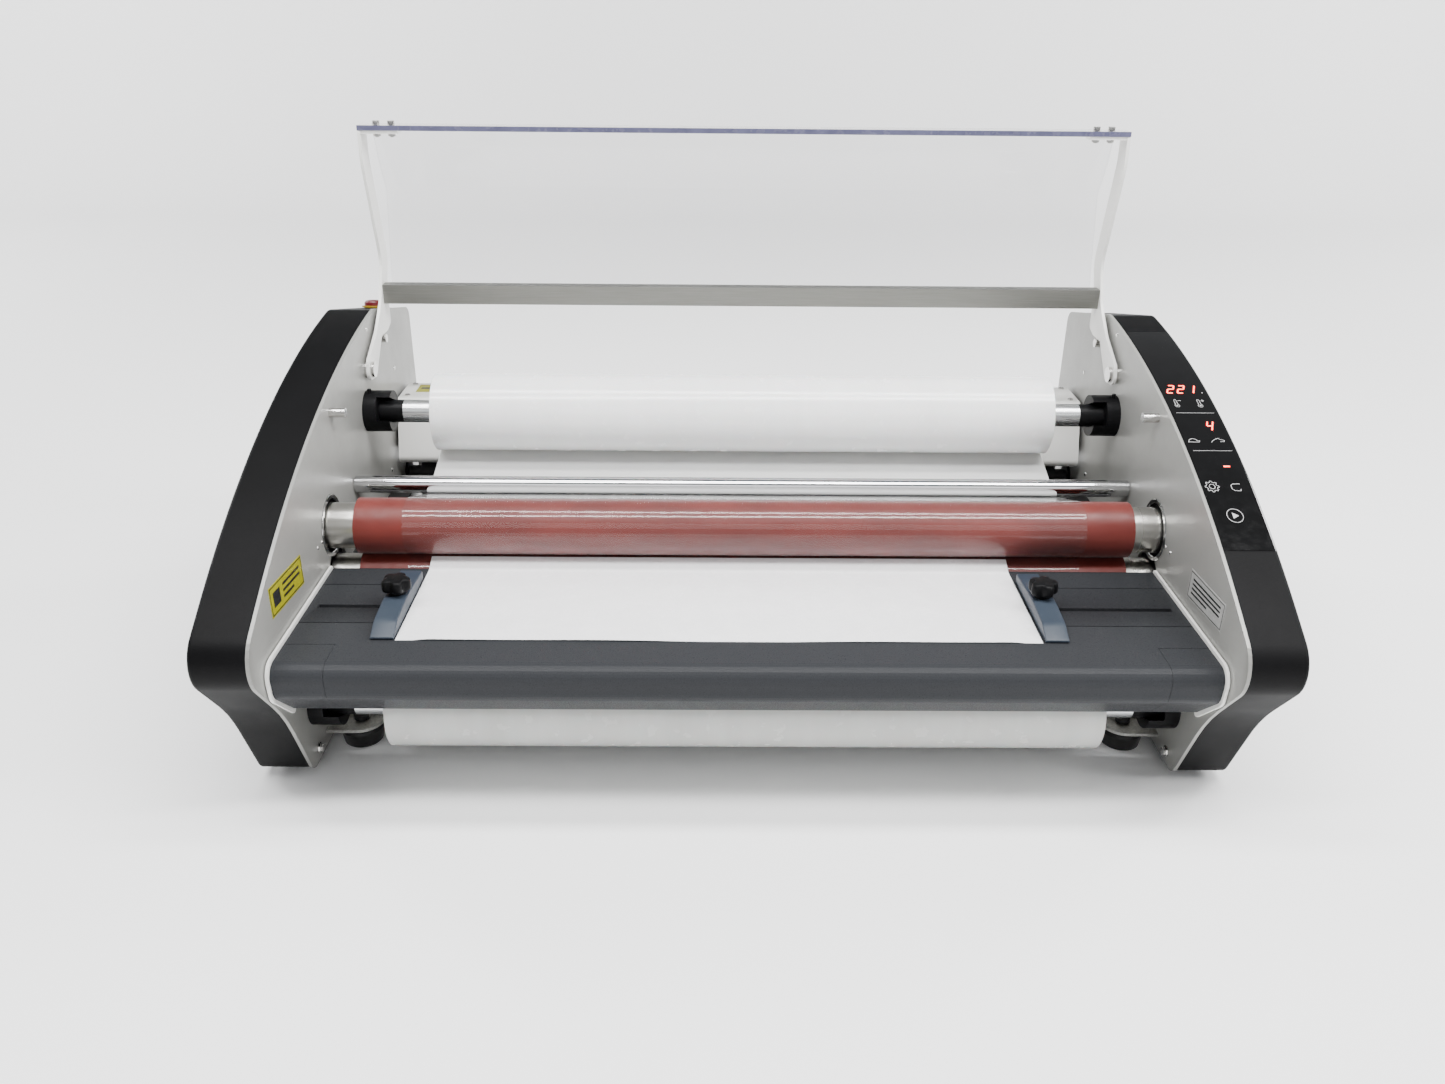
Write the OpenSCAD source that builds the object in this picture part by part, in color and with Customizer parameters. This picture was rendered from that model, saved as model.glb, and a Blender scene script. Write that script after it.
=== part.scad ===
// Desktop roll laminator for wide-format film and vinyl work.
// The frame: +X to the operator's right, +Y to the rear, +Z up, in millimetres.
// The origin is on the bench, midway between the covers and midway front to back.

/* [Case] */
// Overall width across the two end covers
body_w = 880; // [870:5:900]
// Clear width between the two side plates
inner_w = 780; // [776:2:784]
// Overall depth of the side plates
body_d = 588; // [586:1:592]
// Thickness of each steel side plate
plate_t = 3; // [2.5:0.5:3]
// Wall thickness of the moulded end covers
cover_wall = 3; // [2.5:0.5:3.5]
// Size of the rounding along the outer edge of an end cover
cover_round = 8; // [6:1:9]

/* [Laminating rollers] */
// Distance between the axes of the upper and lower roller
roller_pitch = 53.2; // [53.2:0.1:54]
// Diameter of the silicone sleeves
sleeve_d = 52.9; // [52:0.1:52.9]
// Length of the silicone sleeves
sleeve_w = 726; // [700:2:740]
// Diameter of the steel roller tubes
journal_d = 43.6; // [40:0.2:44]

/* [Film] */
// Width of the film rolls
film_w = 635; // [600:5:660]
// Diameter of the upper film roll
upper_film_d = 80; // [50:1:84]
// Diameter of the lower film roll
lower_film_d = 79; // [50:1:80]

/* [Feed table] */
// Height of the table surface above the bench
table_z = 157; // [156:0.5:158]
// Width of one side guide
guide_w = 20; // [18:1:24]
// Distance from the middle to the left guide's inner face
left_guide_x = 297; // [280:1:310]
// Distance from the middle to the right guide's inner face
right_guide_x = 251; // [240:1:300]

/* [Shield] */
// Thickness of the clear shield panel
shield_t = 5; // [4:0.5:5]
// Thickness of the steel shield arms
arm_t = 3; // [2.5:0.5:3]

/* [Hidden] */
$fn = 48;
plate_in = inner_w / 2;
plate_out = plate_in + plate_t;
cover_in = plate_out + 0.3;
cover_out = body_w / 2;
cover_step = 0.8;
rear_y = body_d / 2;
slit = 0.3;

// Side outline of the case as [y, z, corner radius], anticlockwise from the rear foot
CASE = [
    [rear_y, 9, 12], [rear_y, 309, 16], [152, 342.5, 25],
    [-70, 320, 955], [-rear_y - 16.2, 174, 31], [-242, 93, 200], [-202, 8, 14]
];

// Roller axes as [y, z]
upper_roller_at = [-66, 190.8];
lower_roller_at = [-66, upper_roller_at[1] - roller_pitch];
idler_at = [18, 198];
idler_r = 8.7;
upper_supply_at = [88.9, 251.1];
lower_supply_at = [-176, 66];
pull_pitch = 40;
lower_pull_at = [215, 132];
upper_pull_at = [215, lower_pull_at[1] + pull_pitch];
pull_r = 19.85;
motor_at = [64, 78];
sleeve_r = sleeve_d / 2;
journal_r = journal_d / 2;
neck_r = 15;
core_bore_r = 17;
heater_r = 5;
bearing_gap = 0.05;
nip_z = lower_roller_at[1] + roller_pitch / 2;

// Gears and sprockets in the right-hand cover
gear_teeth = 28;
gear_module = roller_pitch / gear_teeth;
gear_x = 405;
gear_w = 8;
sprocket_x = 415;
sprocket_w = 4;
sprocket_module = 2;
roller_sprocket_teeth = 24;
pull_sprocket_teeth = 18;
motor_sprocket_teeth = 12;

// Mandrels and their cups
mandrel_r = 11.8;
tube_end_x = 351;
spindle_r = 6;
cup_r = 21.4;
cup_in = 363;
cup_mid = 376.3;
cup_open = [-0.906, 0.423];

// Feed table
table_rear_y = -89;
table_corner_y = -230;
table_t = 6;
table_half = 386.5;
corner_x = 344;
slot_y = -163.4;
slot_w = 5.4;
guide_lift = 0.9;
sheet_t = 0.3;
film_t = 0.3;

// Shield in its raised position
pivot_at = [101, 292];
pivot_r = 4;
arm_in = 384;
shield_half = 378;
shield_bar_at = [177, 353];
flange_z = 521;
stop_bolt_at = [161, 308.5];
rest_pin_at = [-29, 290];
stop_r = 4.5;

// Emergency stop on the left cover's rear slope
stop_button_at = [-411, 230, 323.9];
rear_slope = atan2(342.5 - 309, rear_y - 152);

// Rear housing, pan and panel
housing_front_y = 168;
housing_rear_y = 250;
housing_top_z = 231;
sheet_metal = 2;
inlet_at = [300, housing_rear_y, 86];
pan_z = 30;
pan_front_y = -96;
pan_lip = 12;
cooling_z = 138;
fan_at = [-200, 220, 207];

warm_white = [0.82, 0.82, 0.79];
cover_black = [0.12, 0.12, 0.13];
slate = [0.29, 0.3, 0.32];
steel = [0.72, 0.72, 0.72];
silicone_red = [0.68, 0.27, 0.23];
film_clear = [0.9, 0.92, 0.94, 0.35];

// ---- Outlines ----

function unit(v) = v / norm(v);
function flat(list) = [for (group = list) for (item = group) item];

function place(corner) = [corner[0], corner[1]];
function half_angle(before, at, after) =
    acos(unit(place(before) - place(at)) * unit(place(after) - place(at))) / 2;

// Centre of the arc that rounds the corner `at` between two neighbours
function corner_centre(before, at, after) =
    let (
        a = unit(place(before) - place(at)),
        b = unit(place(after) - place(at))
    )
    place(at) + unit(a + b) * at[2] / sin(half_angle(before, at, after));

// Points of that arc, drawn `inset` inside an anticlockwise outline
function corner_arc(before, at, after, inset) =
    let (
        a = unit(place(before) - place(at)),
        b = unit(place(after) - place(at)),
        half = half_angle(before, at, after),
        centre = corner_centre(before, at, after),
        out = place(at) + a * at[2] / tan(half) - centre,
        start = atan2(out[1], out[0]),
        bend = sign(b[0] * a[1] - b[1] * a[0]),
        turn = (180 - 2 * half) * bend,
        steps = max(3, ceil(at[2] * abs(turn) * PI / 180 / 18), ceil(abs(turn) / 11))
    )
    [for (i = [0:steps])
        centre + (at[2] - bend * inset) * [cos(start + turn * i / steps),
            sin(start + turn * i / steps)]];

// Closed outline with every corner rounded by its own radius
function rounded(corners, inset = 0) =
    let (n = len(corners))
    flat([for (i = [0:n - 1])
        corner_arc(corners[(i + n - 1) % n], corners[i], corners[(i + 1) % n], inset)]);

// Direction, in degrees, of the line that touches two circles; a signed radius
// puts the line on the circle's left (+) or right (-)
function touch_angle(c1, s1, c2, s2) =
    let (d = c2 - c1)
    atan2(d[1], d[0]) + asin((s2 - s1) / norm(d));
function left_of(angle) = [-sin(angle), cos(angle)];
function arc(centre, r, from, to, steps) =
    [for (i = [0:steps])
        let (a = from + (to - from) * i / steps)
        centre + r * [cos(a), sin(a)]];
function backwards(list) = [for (i = [len(list) - 1:-1:0]) list[i]];

// ---- Shared shapes ----

// Extrudes a [y, z] shape along X
module slab(x0, x1) {
    translate([x0, 0, 0]) rotate([90, 0, 90]) linear_extrude(x1 - x0) children();
}

// Solid through outlines of equal length, listed in the direction of +X
module loft(rings) {
    n = len(rings[0]);
    last = len(rings) - 1;
    polyhedron(points = flat(rings), faces = concat(
        [[for (i = [0:n - 1]) i]],
        [for (k = [0:last - 1], i = [0:n - 1])
            let (j = (i + 1) % n)
            [k * n + i, (k + 1) * n + i, (k + 1) * n + j, k * n + j]],
        [[for (i = [n - 1:-1:0]) last * n + i]]
    ));
}

// Round bar along X with its axis at [y, z]
module rod(x0, x1, at, r) {
    translate([x0, at[0], at[1]]) rotate([0, 90, 0]) cylinder(h = x1 - x0, r = r);
}

module both_ends() {
    children();
    mirror([1, 0, 0]) children();
}

// Block between two opposite corners
module block(low, high) {
    translate(low) cube(high - low);
}

// Spur gear or sprocket along X: flat-topped teeth on a disc with a round bore
module toothed_wheel(x0, w, at, teeth, mod, bore_r, phase = 0) {
    pitch_r = teeth * mod / 2;
    step = 360 / teeth;
    points = flat([for (i = [0:teeth - 1])
        let (a = phase + i * step)
        [for (corner = [[-0.3, -1.2], [-0.12, 0.9], [0.12, 0.9], [0.3, -1.2]])
            (pitch_r + corner[1] * mod) * [cos(a + corner[0] * step), sin(a + corner[0] * step)]]]);
    difference() {
        translate([0, at[0], at[1]]) slab(x0, x0 + w) polygon(points);
        rod(x0 - 1, x0 + w + 1, at, bore_r);
    }
}

// ---- Case ----

module roller_window() {
    for (at = [upper_roller_at, lower_roller_at]) rod(plate_in - 1, plate_out + 1, at, 30);
}

module side_plate() {
    difference() {
        slab(plate_in, plate_out) polygon(rounded(CASE));
        roller_window();
        for (at = [upper_pull_at, lower_pull_at]) rod(plate_in - 1, plate_out + 1, at, 14);
        rod(plate_in - 1, plate_out + 1, idler_at, 5 + bearing_gap);
        rod(plate_in - 1, plate_out + 1, motor_at, 9);
    }
}

module left_side_plate() {
    color(warm_white) mirror([1, 0, 0]) side_plate();
}

module right_side_plate() {
    color(warm_white) side_plate();
}

// Solid end block with its outer edge rounded, `inset` inside the cover's surface
module cover_form(inset) {
    r = cover_round;
    bends = [for (a = [0:22.5:90]) [cover_out - inset - r + r * sin(a), 0.99 * r * (1 - cos(a))]];
    loft([for (ring = concat([[cover_in, 0]], bends))
        [for (p = rounded(CASE, cover_step + inset + ring[1])) [ring[0], p[0], p[1]]]]);
}

module end_cover() {
    difference() {
        cover_form(0);
        translate([-0.5, 0, 0]) cover_form(cover_wall);
    }
}

module left_end_cover() {
    color(cover_black) mirror([1, 0, 0]) difference() {
        end_cover();
        translate([-stop_button_at[0], stop_button_at[1], stop_button_at[2]])
            rotate([-rear_slope, 0, 0]) cylinder(h = 20, r = 12.3, center = true);
    }
}

// Glass strip let into the top of the right cover, following its curve
module panel_strip(x0, x1, y0, y1, outer, inner) {
    intersection() {
        difference() {
            slab(x0, x1) polygon(rounded(CASE, outer));
            slab(x0 - 1, x1 + 1) polygon(rounded(CASE, inner));
        }
        block([x0, y0, 200], [x1, y1, 400]);
    }
}

module right_end_cover() {
    color(cover_black) difference() {
        end_cover();
        panel_strip(394.9, 432.1, -204.1, 105.1, -1, 2.5);
        for (display = DISPLAYS) display_block(display, 0.3);
    }
}

module control_panel() {
    color([0.03, 0.03, 0.03]) panel_strip(395, 432, -204, 105, 0.5, 2.4);
}

// Number displays behind the glass as [x, y, width, length]
DISPLAYS = [[415, -10, 34, 20], [425, -66, 12, 18], [424, -117, 10, 12]];

// Centre of the long curve along the top of the case
crown = corner_centre(CASE[2], CASE[3], CASE[4]);
crown_r = CASE[3][2];

// Stands a shape on the curve at distance y along the case, `sunk` below its surface
module on_crown(x, y, sunk) {
    lean = asin((crown[0] - y) / crown_r);
    translate([x, crown[0], crown[1]]) rotate([lean, 0, 0]) translate([0, 0, crown_r - sunk])
        children();
}

module display_block(display, gap) {
    on_crown(display[0], display[1], 5.5)
        cube([display[2] + 2 * gap, display[3] + 2 * gap, 5.6 + 2 * gap], center = true);
}

module led_displays() {
    color([0.45, 0.02, 0.02]) for (display = DISPLAYS) display_block(display, 0);
}

module control_board() {
    color([0.1, 0.3, 0.16]) on_crown(414, -60, 15.5) cube([34, 190, 1.6], center = true);
}

module front_crossbar() {
    color(warm_white) slab(-plate_in, plate_in)
        difference() {
            translate([-128, 30]) square([24, 24]);
            translate([-126, 32]) square([20, 20]);
        }
}

module base_pan() {
    back = housing_rear_y - sheet_metal;
    color(warm_white) slab(-plate_in + 0.5, plate_in - 0.5) difference() {
        translate([pan_front_y, pan_z]) square([back - pan_front_y, pan_lip]);
        translate([pan_front_y + sheet_metal, pan_z + sheet_metal])
            square([back - pan_front_y - 2 * sheet_metal, pan_lip]);
    }
}

module cooling_plate() {
    color(cover_black) difference() {
        block([-plate_in + 0.5, -30, cooling_z], [plate_in - 0.5, 186, cooling_z + sheet_metal]);
        for (i = [-8:8]) for (y = [10, 60, 110])
            block([i * 44 - 15, y, cooling_z - 1], [i * 44 + 15, y + 30, cooling_z + 3]);
    }
}

// ---- Rear ----

// Outline of the housing over the exit as [y, z, corner radius]
HOUSING = [
    [housing_rear_y, 160, 3], [housing_rear_y, housing_top_z, 5], [190, housing_top_z, 6],
    [housing_front_y - 2, 160, 7]
];

module rear_housing() {
    color(warm_white) difference() {
        slab(-386, 386) difference() {
            polygon(rounded(HOUSING));
            polygon(rounded(HOUSING, sheet_metal));
            translate([185, 150]) square([60, 20]);
        }
        translate([fan_at[0], fan_at[1], housing_top_z - 10]) cylinder(h = 20, r = 24);
    }
}

module rear_panel() {
    color(warm_white) difference() {
        block([-386, housing_rear_y - sheet_metal, pan_z + pan_lip], [386, housing_rear_y, 134]);
        block([inlet_at[0] - 14.2, 240, inlet_at[2] - 24.2],
            [inlet_at[0] + 14.2, 260, inlet_at[2] + 24.2]);
        for (i = [0:11]) block([-220 + i * 16, 240, 62], [-214 + i * 16, 260, 104]);
    }
}

// Mains inlet below, rocker switch above, in one moulded frame
module power_inlet() {
    x = inlet_at[0];
    y = inlet_at[1];
    z = inlet_at[2];
    color([0.08, 0.08, 0.08]) difference() {
        union() {
            block([x - 14, y - 26, z - 24], [x + 14, y, z + 24]);
            block([x - 17, y, z - 28], [x + 17, y + 2.5, z + 28]);
        }
        block([x - 12, y - 18, z - 21], [x + 12, y + 4, z - 4]);
        block([x - 10.5, y - 14, z + 2.5], [x + 10.5, y + 4, z + 21.5]);
        rod(x - 13, x + 13, [y - 4, z + 12], 1.5 + bearing_gap);
    }
    color(steel) for (pin = [[-7, -13], [0, -9.5], [7, -13]])
        block([x + pin[0] - 1, y - 18, z + pin[1] - 2], [x + pin[0] + 1, y - 3, z + pin[1] + 2]);
}

module power_rocker() {
    x = inlet_at[0];
    at = [inlet_at[1] - 4, inlet_at[2] + 12];
    color([0.2, 0.02, 0.02]) {
        slab(x - 9.8, x + 9.8) translate(at)
            polygon([[-4, -6], [-4, 6], [1, 7.6], [5.6, 7.4], [3.6, 0], [2.4, -7.4], [0, -7.6]]);
        rod(x - 12.5, x + 12.5, at, 1.5);
    }
}

module power_board() {
    z = pan_z + sheet_metal + 12;
    color([0.1, 0.3, 0.16]) block([-300, 60, z], [-120, 180, z + 1.6]);
    color([0.75, 0.6, 0.2]) block([-285, 80, z + 1.6], [-235, 130, z + 40]);
    color([0.1, 0.1, 0.1]) for (x = [-210, -180, -150])
        translate([x, 100, z + 1.6]) cylinder(h = 30, r = 10);
    color(steel) for (x = [-294, -126]) for (y = [66, 174])
        translate([x, y, pan_z + sheet_metal]) cylinder(h = 12, r = 3);
}

module fan_housing() {
    color([0.06, 0.06, 0.06]) translate(fan_at) difference() {
        translate([-26, -26, 0]) cube([52, 52, 18]);
        translate([0, 0, 2]) cylinder(h = 20, r = 24);
        for (a = [45:90:315]) rotate(a) translate([8, -7, -1]) cube([14, 14, 4]);
        for (x = [-21.5, 21.5]) for (y = [-21.5, 21.5]) translate([x, y, -1]) cylinder(h = 20, r = 1.7);
    }
}

module fan_rotor() {
    color([0.1, 0.1, 0.1]) translate([fan_at[0], fan_at[1], fan_at[2] + 3]) {
        difference() {
            cylinder(h = 13, r = 10);
            translate([0, 0, -1]) cylinder(h = 12, r = 8.5);
        }
        for (a = [0:51.43:359]) rotate(a) translate([9.5, -0.8, 1]) rotate([28, 0, 0]) cube([13, 1.6, 11]);
    }
}

// ---- Feet ----

foot_at = [363, -138];
rear_foot_y = 225;

module foot_places() {
    both_ends() for (y = [foot_at[1], rear_foot_y]) translate([foot_at[0], y, 0]) children();
}

module foot_brackets() {
    color(steel) foot_places() difference() {
        union() {
            translate([0, 0, 20]) cylinder(h = 3, r = 22);
            translate([0, -22, 20]) cube([plate_in - foot_at[0], 44, 3]);
        }
        translate([0, 0, 19]) cylinder(h = 5, r = 4.1);
    }
}

module rubber_feet() {
    color([0.07, 0.07, 0.07]) foot_places() {
        rotate_extrude() polygon([[0, 0], [17, 0], [18, 1], [20, 14], [19, 17], [12, 19.9], [0, 19.9]]);
        cylinder(h = 27, r = 4);
        translate([0, 0, 23.1]) cylinder(h = 4, r = 7);
    }
}

// ---- Feed table ----

// Rolled front lip of the table as [y, z, corner radius]
LIP = [
    [table_corner_y, table_z, 0.4], [-271, table_z, 13], [-268, 128, 14],
    [-231, 94, 1], [table_corner_y, table_z - table_t, 0.3]
];
LIP_HOLLOW = [
    [-234, table_z - 7, 2], [-266, table_z - 4, 10], [-264, 130, 12], [-232, 101, 1]
];

module lip_shape() {
    difference() {
        polygon(rounded(LIP));
        polygon(rounded(LIP_HOLLOW));
    }
}

module table_top() {
    color(slate) difference() {
        union() {
            slab(-table_half, table_half) polygon([[table_corner_y + 0.3, table_z - table_t],
                [-97, table_z - table_t], [-95, table_z - 3], [table_rear_y, table_z - 3],
                [table_rear_y, table_z], [table_corner_y + 0.3, table_z]]);
            slab(-corner_x + 0.3, corner_x - 0.3) union() {
                lip_shape();
                translate([table_corner_y - 1, table_z - table_t]) square([2, table_t]);
            }
        }
        block([-378, slot_y - slot_w / 2, 140], [378, slot_y + slot_w / 2, 170]);
        for (y = [-122, -193])
            block([-table_half - 1, y - 0.6, table_z - 1], [table_half + 1, y + 0.6, table_z + 1]);
    }
}

module table_corner_caps() {
    color(slate) both_ends() slab(corner_x, table_half) lip_shape();
}

module table_end_plates() {
    edge = [
        [table_rear_y, table_z - 12, 1], [table_rear_y, table_z + 3, 2], [-274, table_z + 3, 15],
        [-271, 127, 15], [-230, 88, 4], [-226, 93, 1], [-236, table_z - 12, 6]
    ];
    color(warm_white) both_ends() slab(table_half + 0.3, table_half + 2.6) polygon(rounded(edge));
}

// Side guide: a low curved rail on the table, held by a knob through the slot
module side_guide(x) {
    z = table_z + guide_lift;
    rail = [
        [-112, z, 0.3], [-112, z + 9, 1.5], [-168, z + 13, 200], [-206, z + 9.6, 25],
        [-223, z + 2, 1.5], [-223, z, 0.3]
    ];
    difference() {
        slab(x, x + guide_w) polygon(rounded(rail));
        translate([x + guide_w / 2, slot_y, z - 1]) cylinder(h = 20, r = 3.05);
    }
}

module left_guide() {
    color([0.43, 0.49, 0.57]) side_guide(-left_guide_x - guide_w);
}

module right_guide() {
    color([0.43, 0.49, 0.57]) side_guide(right_guide_x);
}

// Star knob with its stud and the nut that grips under the slot
module guide_knob(x) {
    z = table_z + guide_lift + 12.5;
    translate([x, slot_y, 0]) {
        translate([0, 0, z + 0.3]) cylinder(h = 4, r = 7);
        translate([0, 0, z + 4.3]) difference() {
            cylinder(h = 11, r = 13);
            for (a = [0:72:359]) rotate(a + 36) translate([14.5, 0, -1]) cylinder(h = 13, r = 4.5);
        }
        translate([0, 0, table_z - 12]) cylinder(h = 28, r = 2.5);
        translate([0, 0, table_z - 11]) cylinder(h = 4.5, r = 6);
    }
}

module left_guide_knob() {
    color([0.06, 0.06, 0.06]) guide_knob(-left_guide_x - guide_w / 2);
}

module right_guide_knob() {
    color([0.06, 0.06, 0.06]) guide_knob(right_guide_x + guide_w / 2);
}

// ---- Laminating rollers ----

module roller_bearings() {
    color([0.1, 0.1, 0.1]) both_ends() difference() {
        block([plate_out, -104, 98], [plate_out + 9, -28, 230]);
        for (at = [upper_roller_at, lower_roller_at]) rod(plate_in, 410, at, neck_r + bearing_gap);
    }
}

module roller_core(at, right_end) {
    color(steel) difference() {
        union() {
            rod(-plate_in - 1, plate_in + 1, at, journal_r);
            rod(-plate_out - 10, right_end, at, neck_r);
        }
        rod(-376, 376, at, core_bore_r);
        rod(-450, 450, at, 9);
    }
}

module roller_sleeve(at) {
    color(silicone_red) difference() {
        rod(-sleeve_w / 2, sleeve_w / 2, at, sleeve_r);
        rod(-sleeve_w, sleeve_w, at, journal_r);
    }
}

module upper_roller_core() {
    roller_core(upper_roller_at, gear_x + gear_w + 1);
}

module upper_roller_sleeve() {
    roller_sleeve(upper_roller_at);
}

module upper_roller_gear() {
    color([0.85, 0.83, 0.75])
        toothed_wheel(gear_x, gear_w, upper_roller_at, gear_teeth, gear_module, neck_r, -90);
}

module lower_roller_core() {
    roller_core(lower_roller_at, sprocket_x + sprocket_w + 1);
}

module lower_roller_sleeve() {
    roller_sleeve(lower_roller_at);
}

module lower_roller_gear() {
    color([0.85, 0.83, 0.75]) {
        toothed_wheel(gear_x, gear_w, lower_roller_at, gear_teeth, gear_module, neck_r,
            90 + 180 / gear_teeth);
        toothed_wheel(sprocket_x, sprocket_w, lower_roller_at, roller_sprocket_teeth,
            sprocket_module, neck_r);
        difference() {
            rod(gear_x + gear_w, sprocket_x, lower_roller_at, 19);
            rod(gear_x, sprocket_x + 1, lower_roller_at, neck_r);
        }
    }
}

module roller_heaters() {
    color([0.85, 0.85, 0.82]) for (at = [upper_roller_at, lower_roller_at])
        rod(-424, 424, at, heater_r);
}

// ---- Pull rollers and drive ----

module pull_roller(at, right_end) {
    color([0.25, 0.25, 0.26]) {
        rod(-370, 370, at, pull_r);
        rod(-plate_out - 9, right_end, at, 8);
    }
}

module upper_pull_roller() {
    pull_roller(upper_pull_at, plate_out + 9);
}

module lower_pull_roller() {
    pull_roller(lower_pull_at, sprocket_x + sprocket_w + 1);
}

module pull_roller_sprocket() {
    color([0.85, 0.83, 0.75]) toothed_wheel(sprocket_x, sprocket_w, lower_pull_at,
        pull_sprocket_teeth, sprocket_module, 8);
}

module pull_roller_bearings() {
    color([0.1, 0.1, 0.1]) both_ends() for (at = [upper_pull_at, lower_pull_at]) difference() {
        union() {
            rod(plate_in - 3, plate_out + 5, at, 13.9);
            rod(plate_out, plate_out + 5, at, 18);
        }
        rod(plate_in - 4, plate_out + 6, at, 8 + bearing_gap);
    }
}

module drive_motor() {
    color([0.5, 0.5, 0.52]) difference() {
        union() {
            rod(292, 352, motor_at, 24);
            rod(352, plate_in, motor_at, 28);
            rod(plate_in - 1, plate_out + 2, motor_at, 8.8);
        }
        rod(380, 400, motor_at, 4 + bearing_gap);
    }
}

module motor_sprocket() {
    color(steel) rod(382, sprocket_x + sprocket_w + 1, motor_at, 4);
    color([0.85, 0.83, 0.75]) toothed_wheel(sprocket_x, sprocket_w, motor_at,
        motor_sprocket_teeth, sprocket_module, 4);
}

// Chain loop drawn as a band that runs just outside the sprocket teeth
module drive_chain() {
    wheels = [
        [lower_roller_at, roller_sprocket_teeth], [lower_pull_at, pull_sprocket_teeth],
        [motor_at, motor_sprocket_teeth]
    ];
    color([0.35, 0.35, 0.37]) slab(sprocket_x, sprocket_x + sprocket_w) difference() {
        hull() for (wheel = wheels) translate(wheel[0])
            circle(r = (wheel[1] / 2 + 0.9) * sprocket_module + 2.8);
        hull() for (wheel = wheels) translate(wheel[0])
            circle(r = (wheel[1] / 2 + 0.9) * sprocket_module + 0.4);
    }
}

module idler_bar() {
    color([0.85, 0.85, 0.87]) {
        rod(-plate_in + 1, plate_in - 1, idler_at, idler_r);
        rod(-plate_out, plate_out, idler_at, 5);
    }
}

// ---- Film supply ----

module mandrel_cup(at) {
    turn = atan2(cup_open[1], cup_open[0]);
    difference() {
        rod(cup_in, plate_in, at, cup_r);
        rod(cup_in - 1, cup_mid, at, mandrel_r + 0.3);
        translate([cup_in - 1, at[0], at[1]]) rotate([turn, 0, 0])
            block([0, 0, -mandrel_r - 0.3], [cup_mid - cup_in + 1, 40, mandrel_r + 0.3]);
        rod(cup_in, cup_mid + 9, at, spindle_r + bearing_gap);
    }
    translate([plate_in - 5, at[0] - 4, at[1] + cup_r - 1]) cylinder(h = 4.5, r = 2);
}

module mandrel_cups() {
    color([0.07, 0.07, 0.07]) both_ends() for (at = [upper_supply_at, lower_supply_at])
        mandrel_cup(at);
}

module mandrel_tube(at) {
    color([0.75, 0.76, 0.77]) difference() {
        rod(-tube_end_x, tube_end_x, at, mandrel_r);
        rod(-tube_end_x - 1, tube_end_x + 1, at, mandrel_r - 2);
    }
}

module mandrel_ends(at) {
    color([0.07, 0.07, 0.07]) both_ends() {
        rod(tube_end_x, cup_mid - slit, at, mandrel_r - 0.1);
        rod(tube_end_x - 20, tube_end_x, at, mandrel_r - 2);
        rod(cup_mid - slit, cup_mid + 8, at, spindle_r);
    }
}

module film_roll(at, d, tint) {
    color(tint) difference() {
        rod(-film_w / 2, film_w / 2, at, d / 2);
        rod(-film_w, film_w, at, mandrel_r);
    }
}

module upper_mandrel_tube() {
    mandrel_tube(upper_supply_at);
}

module upper_mandrel_ends() {
    mandrel_ends(upper_supply_at);
}

module upper_film_roll() {
    film_roll(upper_supply_at, upper_film_d, [0.95, 0.95, 0.95]);
}

module lower_mandrel_tube() {
    mandrel_tube(lower_supply_at);
}

module lower_mandrel_ends() {
    mandrel_ends(lower_supply_at);
}

module lower_film_roll() {
    film_roll(lower_supply_at, lower_film_d, [0.85, 0.85, 0.83]);
}

// One face of the upper film, `lift` of the way through its thickness: from the
// bottom of the roll, under the idler and over the upper roller to the nip
function upper_film_path(lift) =
    let (
        roll_r = upper_film_d / 2 + slit + lift,
        under_r = idler_r + slit + lift,
        over_r = sleeve_r + slit + film_t - lift,
        off = touch_angle(upper_supply_at, roll_r, idler_at, under_r),
        across = touch_angle(idler_at, under_r, upper_roller_at, -over_r)
    )
    concat(
        [upper_supply_at + left_of(off) * roll_r],
        arc(idler_at, under_r, turned(off + 90), turned(across + 90), 10),
        arc(upper_roller_at, over_r, turned(across - 90), 257, 24));

// The same angle, between 0 and 360 degrees
function turned(angle) = angle < 0 ? turned(angle + 360) : angle >= 360 ? angle - 360 : angle;

module upper_film_web() {
    color(film_clear) slab(-film_w / 2, film_w / 2)
        polygon(concat(upper_film_path(0), backwards(upper_film_path(film_t))));
}

// Film path from the back of the lower roll up the front of the lower roller
module lower_film_web() {
    roll_r = lower_film_d / 2 + slit + film_t;
    over_r = sleeve_r + slit;
    up = touch_angle(lower_supply_at, -roll_r, lower_roller_at, over_r);
    inner = concat([lower_supply_at - left_of(up) * roll_r],
        arc(lower_roller_at, over_r, up + 90, 103, 8));
    outer = concat([lower_supply_at - left_of(up) * (roll_r - film_t)],
        arc(lower_roller_at, over_r + film_t, up + 90, 103, 8));
    color(film_clear) slab(-film_w / 2, film_w / 2) polygon(concat(inner, backwards(outer)));
}

module loaded_sheet() {
    z = table_z + 0.2;
    color([0.95, 0.95, 0.95]) slab(-296, 249) polygon([[-223, z], [-92, z], [-77, nip_z - 0.3],
        [-77, nip_z - 0.3 + sheet_t], [-92.2, z + sheet_t], [-223, z + sheet_t]]);
}

// ---- Shield ----

// Side outline of a shield arm as [y, z, corner radius]
ARM = [
    [88, 283, 9], [93, 303, 9], [134, 323, 30], [164, 347, 40], [184, 387, 30], [155, 492, 60],
    [157, flange_z, 2], [181, flange_z, 2], [179, 494, 50], [208, 387, 30], [192, 352, 20],
    [192, 318, 6], [176, 313.4, 4], [150, 313.4, 4], [116, 280, 10]
];

// Screws that hold the shield's top edge to the flanges of the arms
module at_shield_screws() {
    both_ends() for (x = [355, 370]) translate([x, 168, 0]) children();
}

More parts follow.
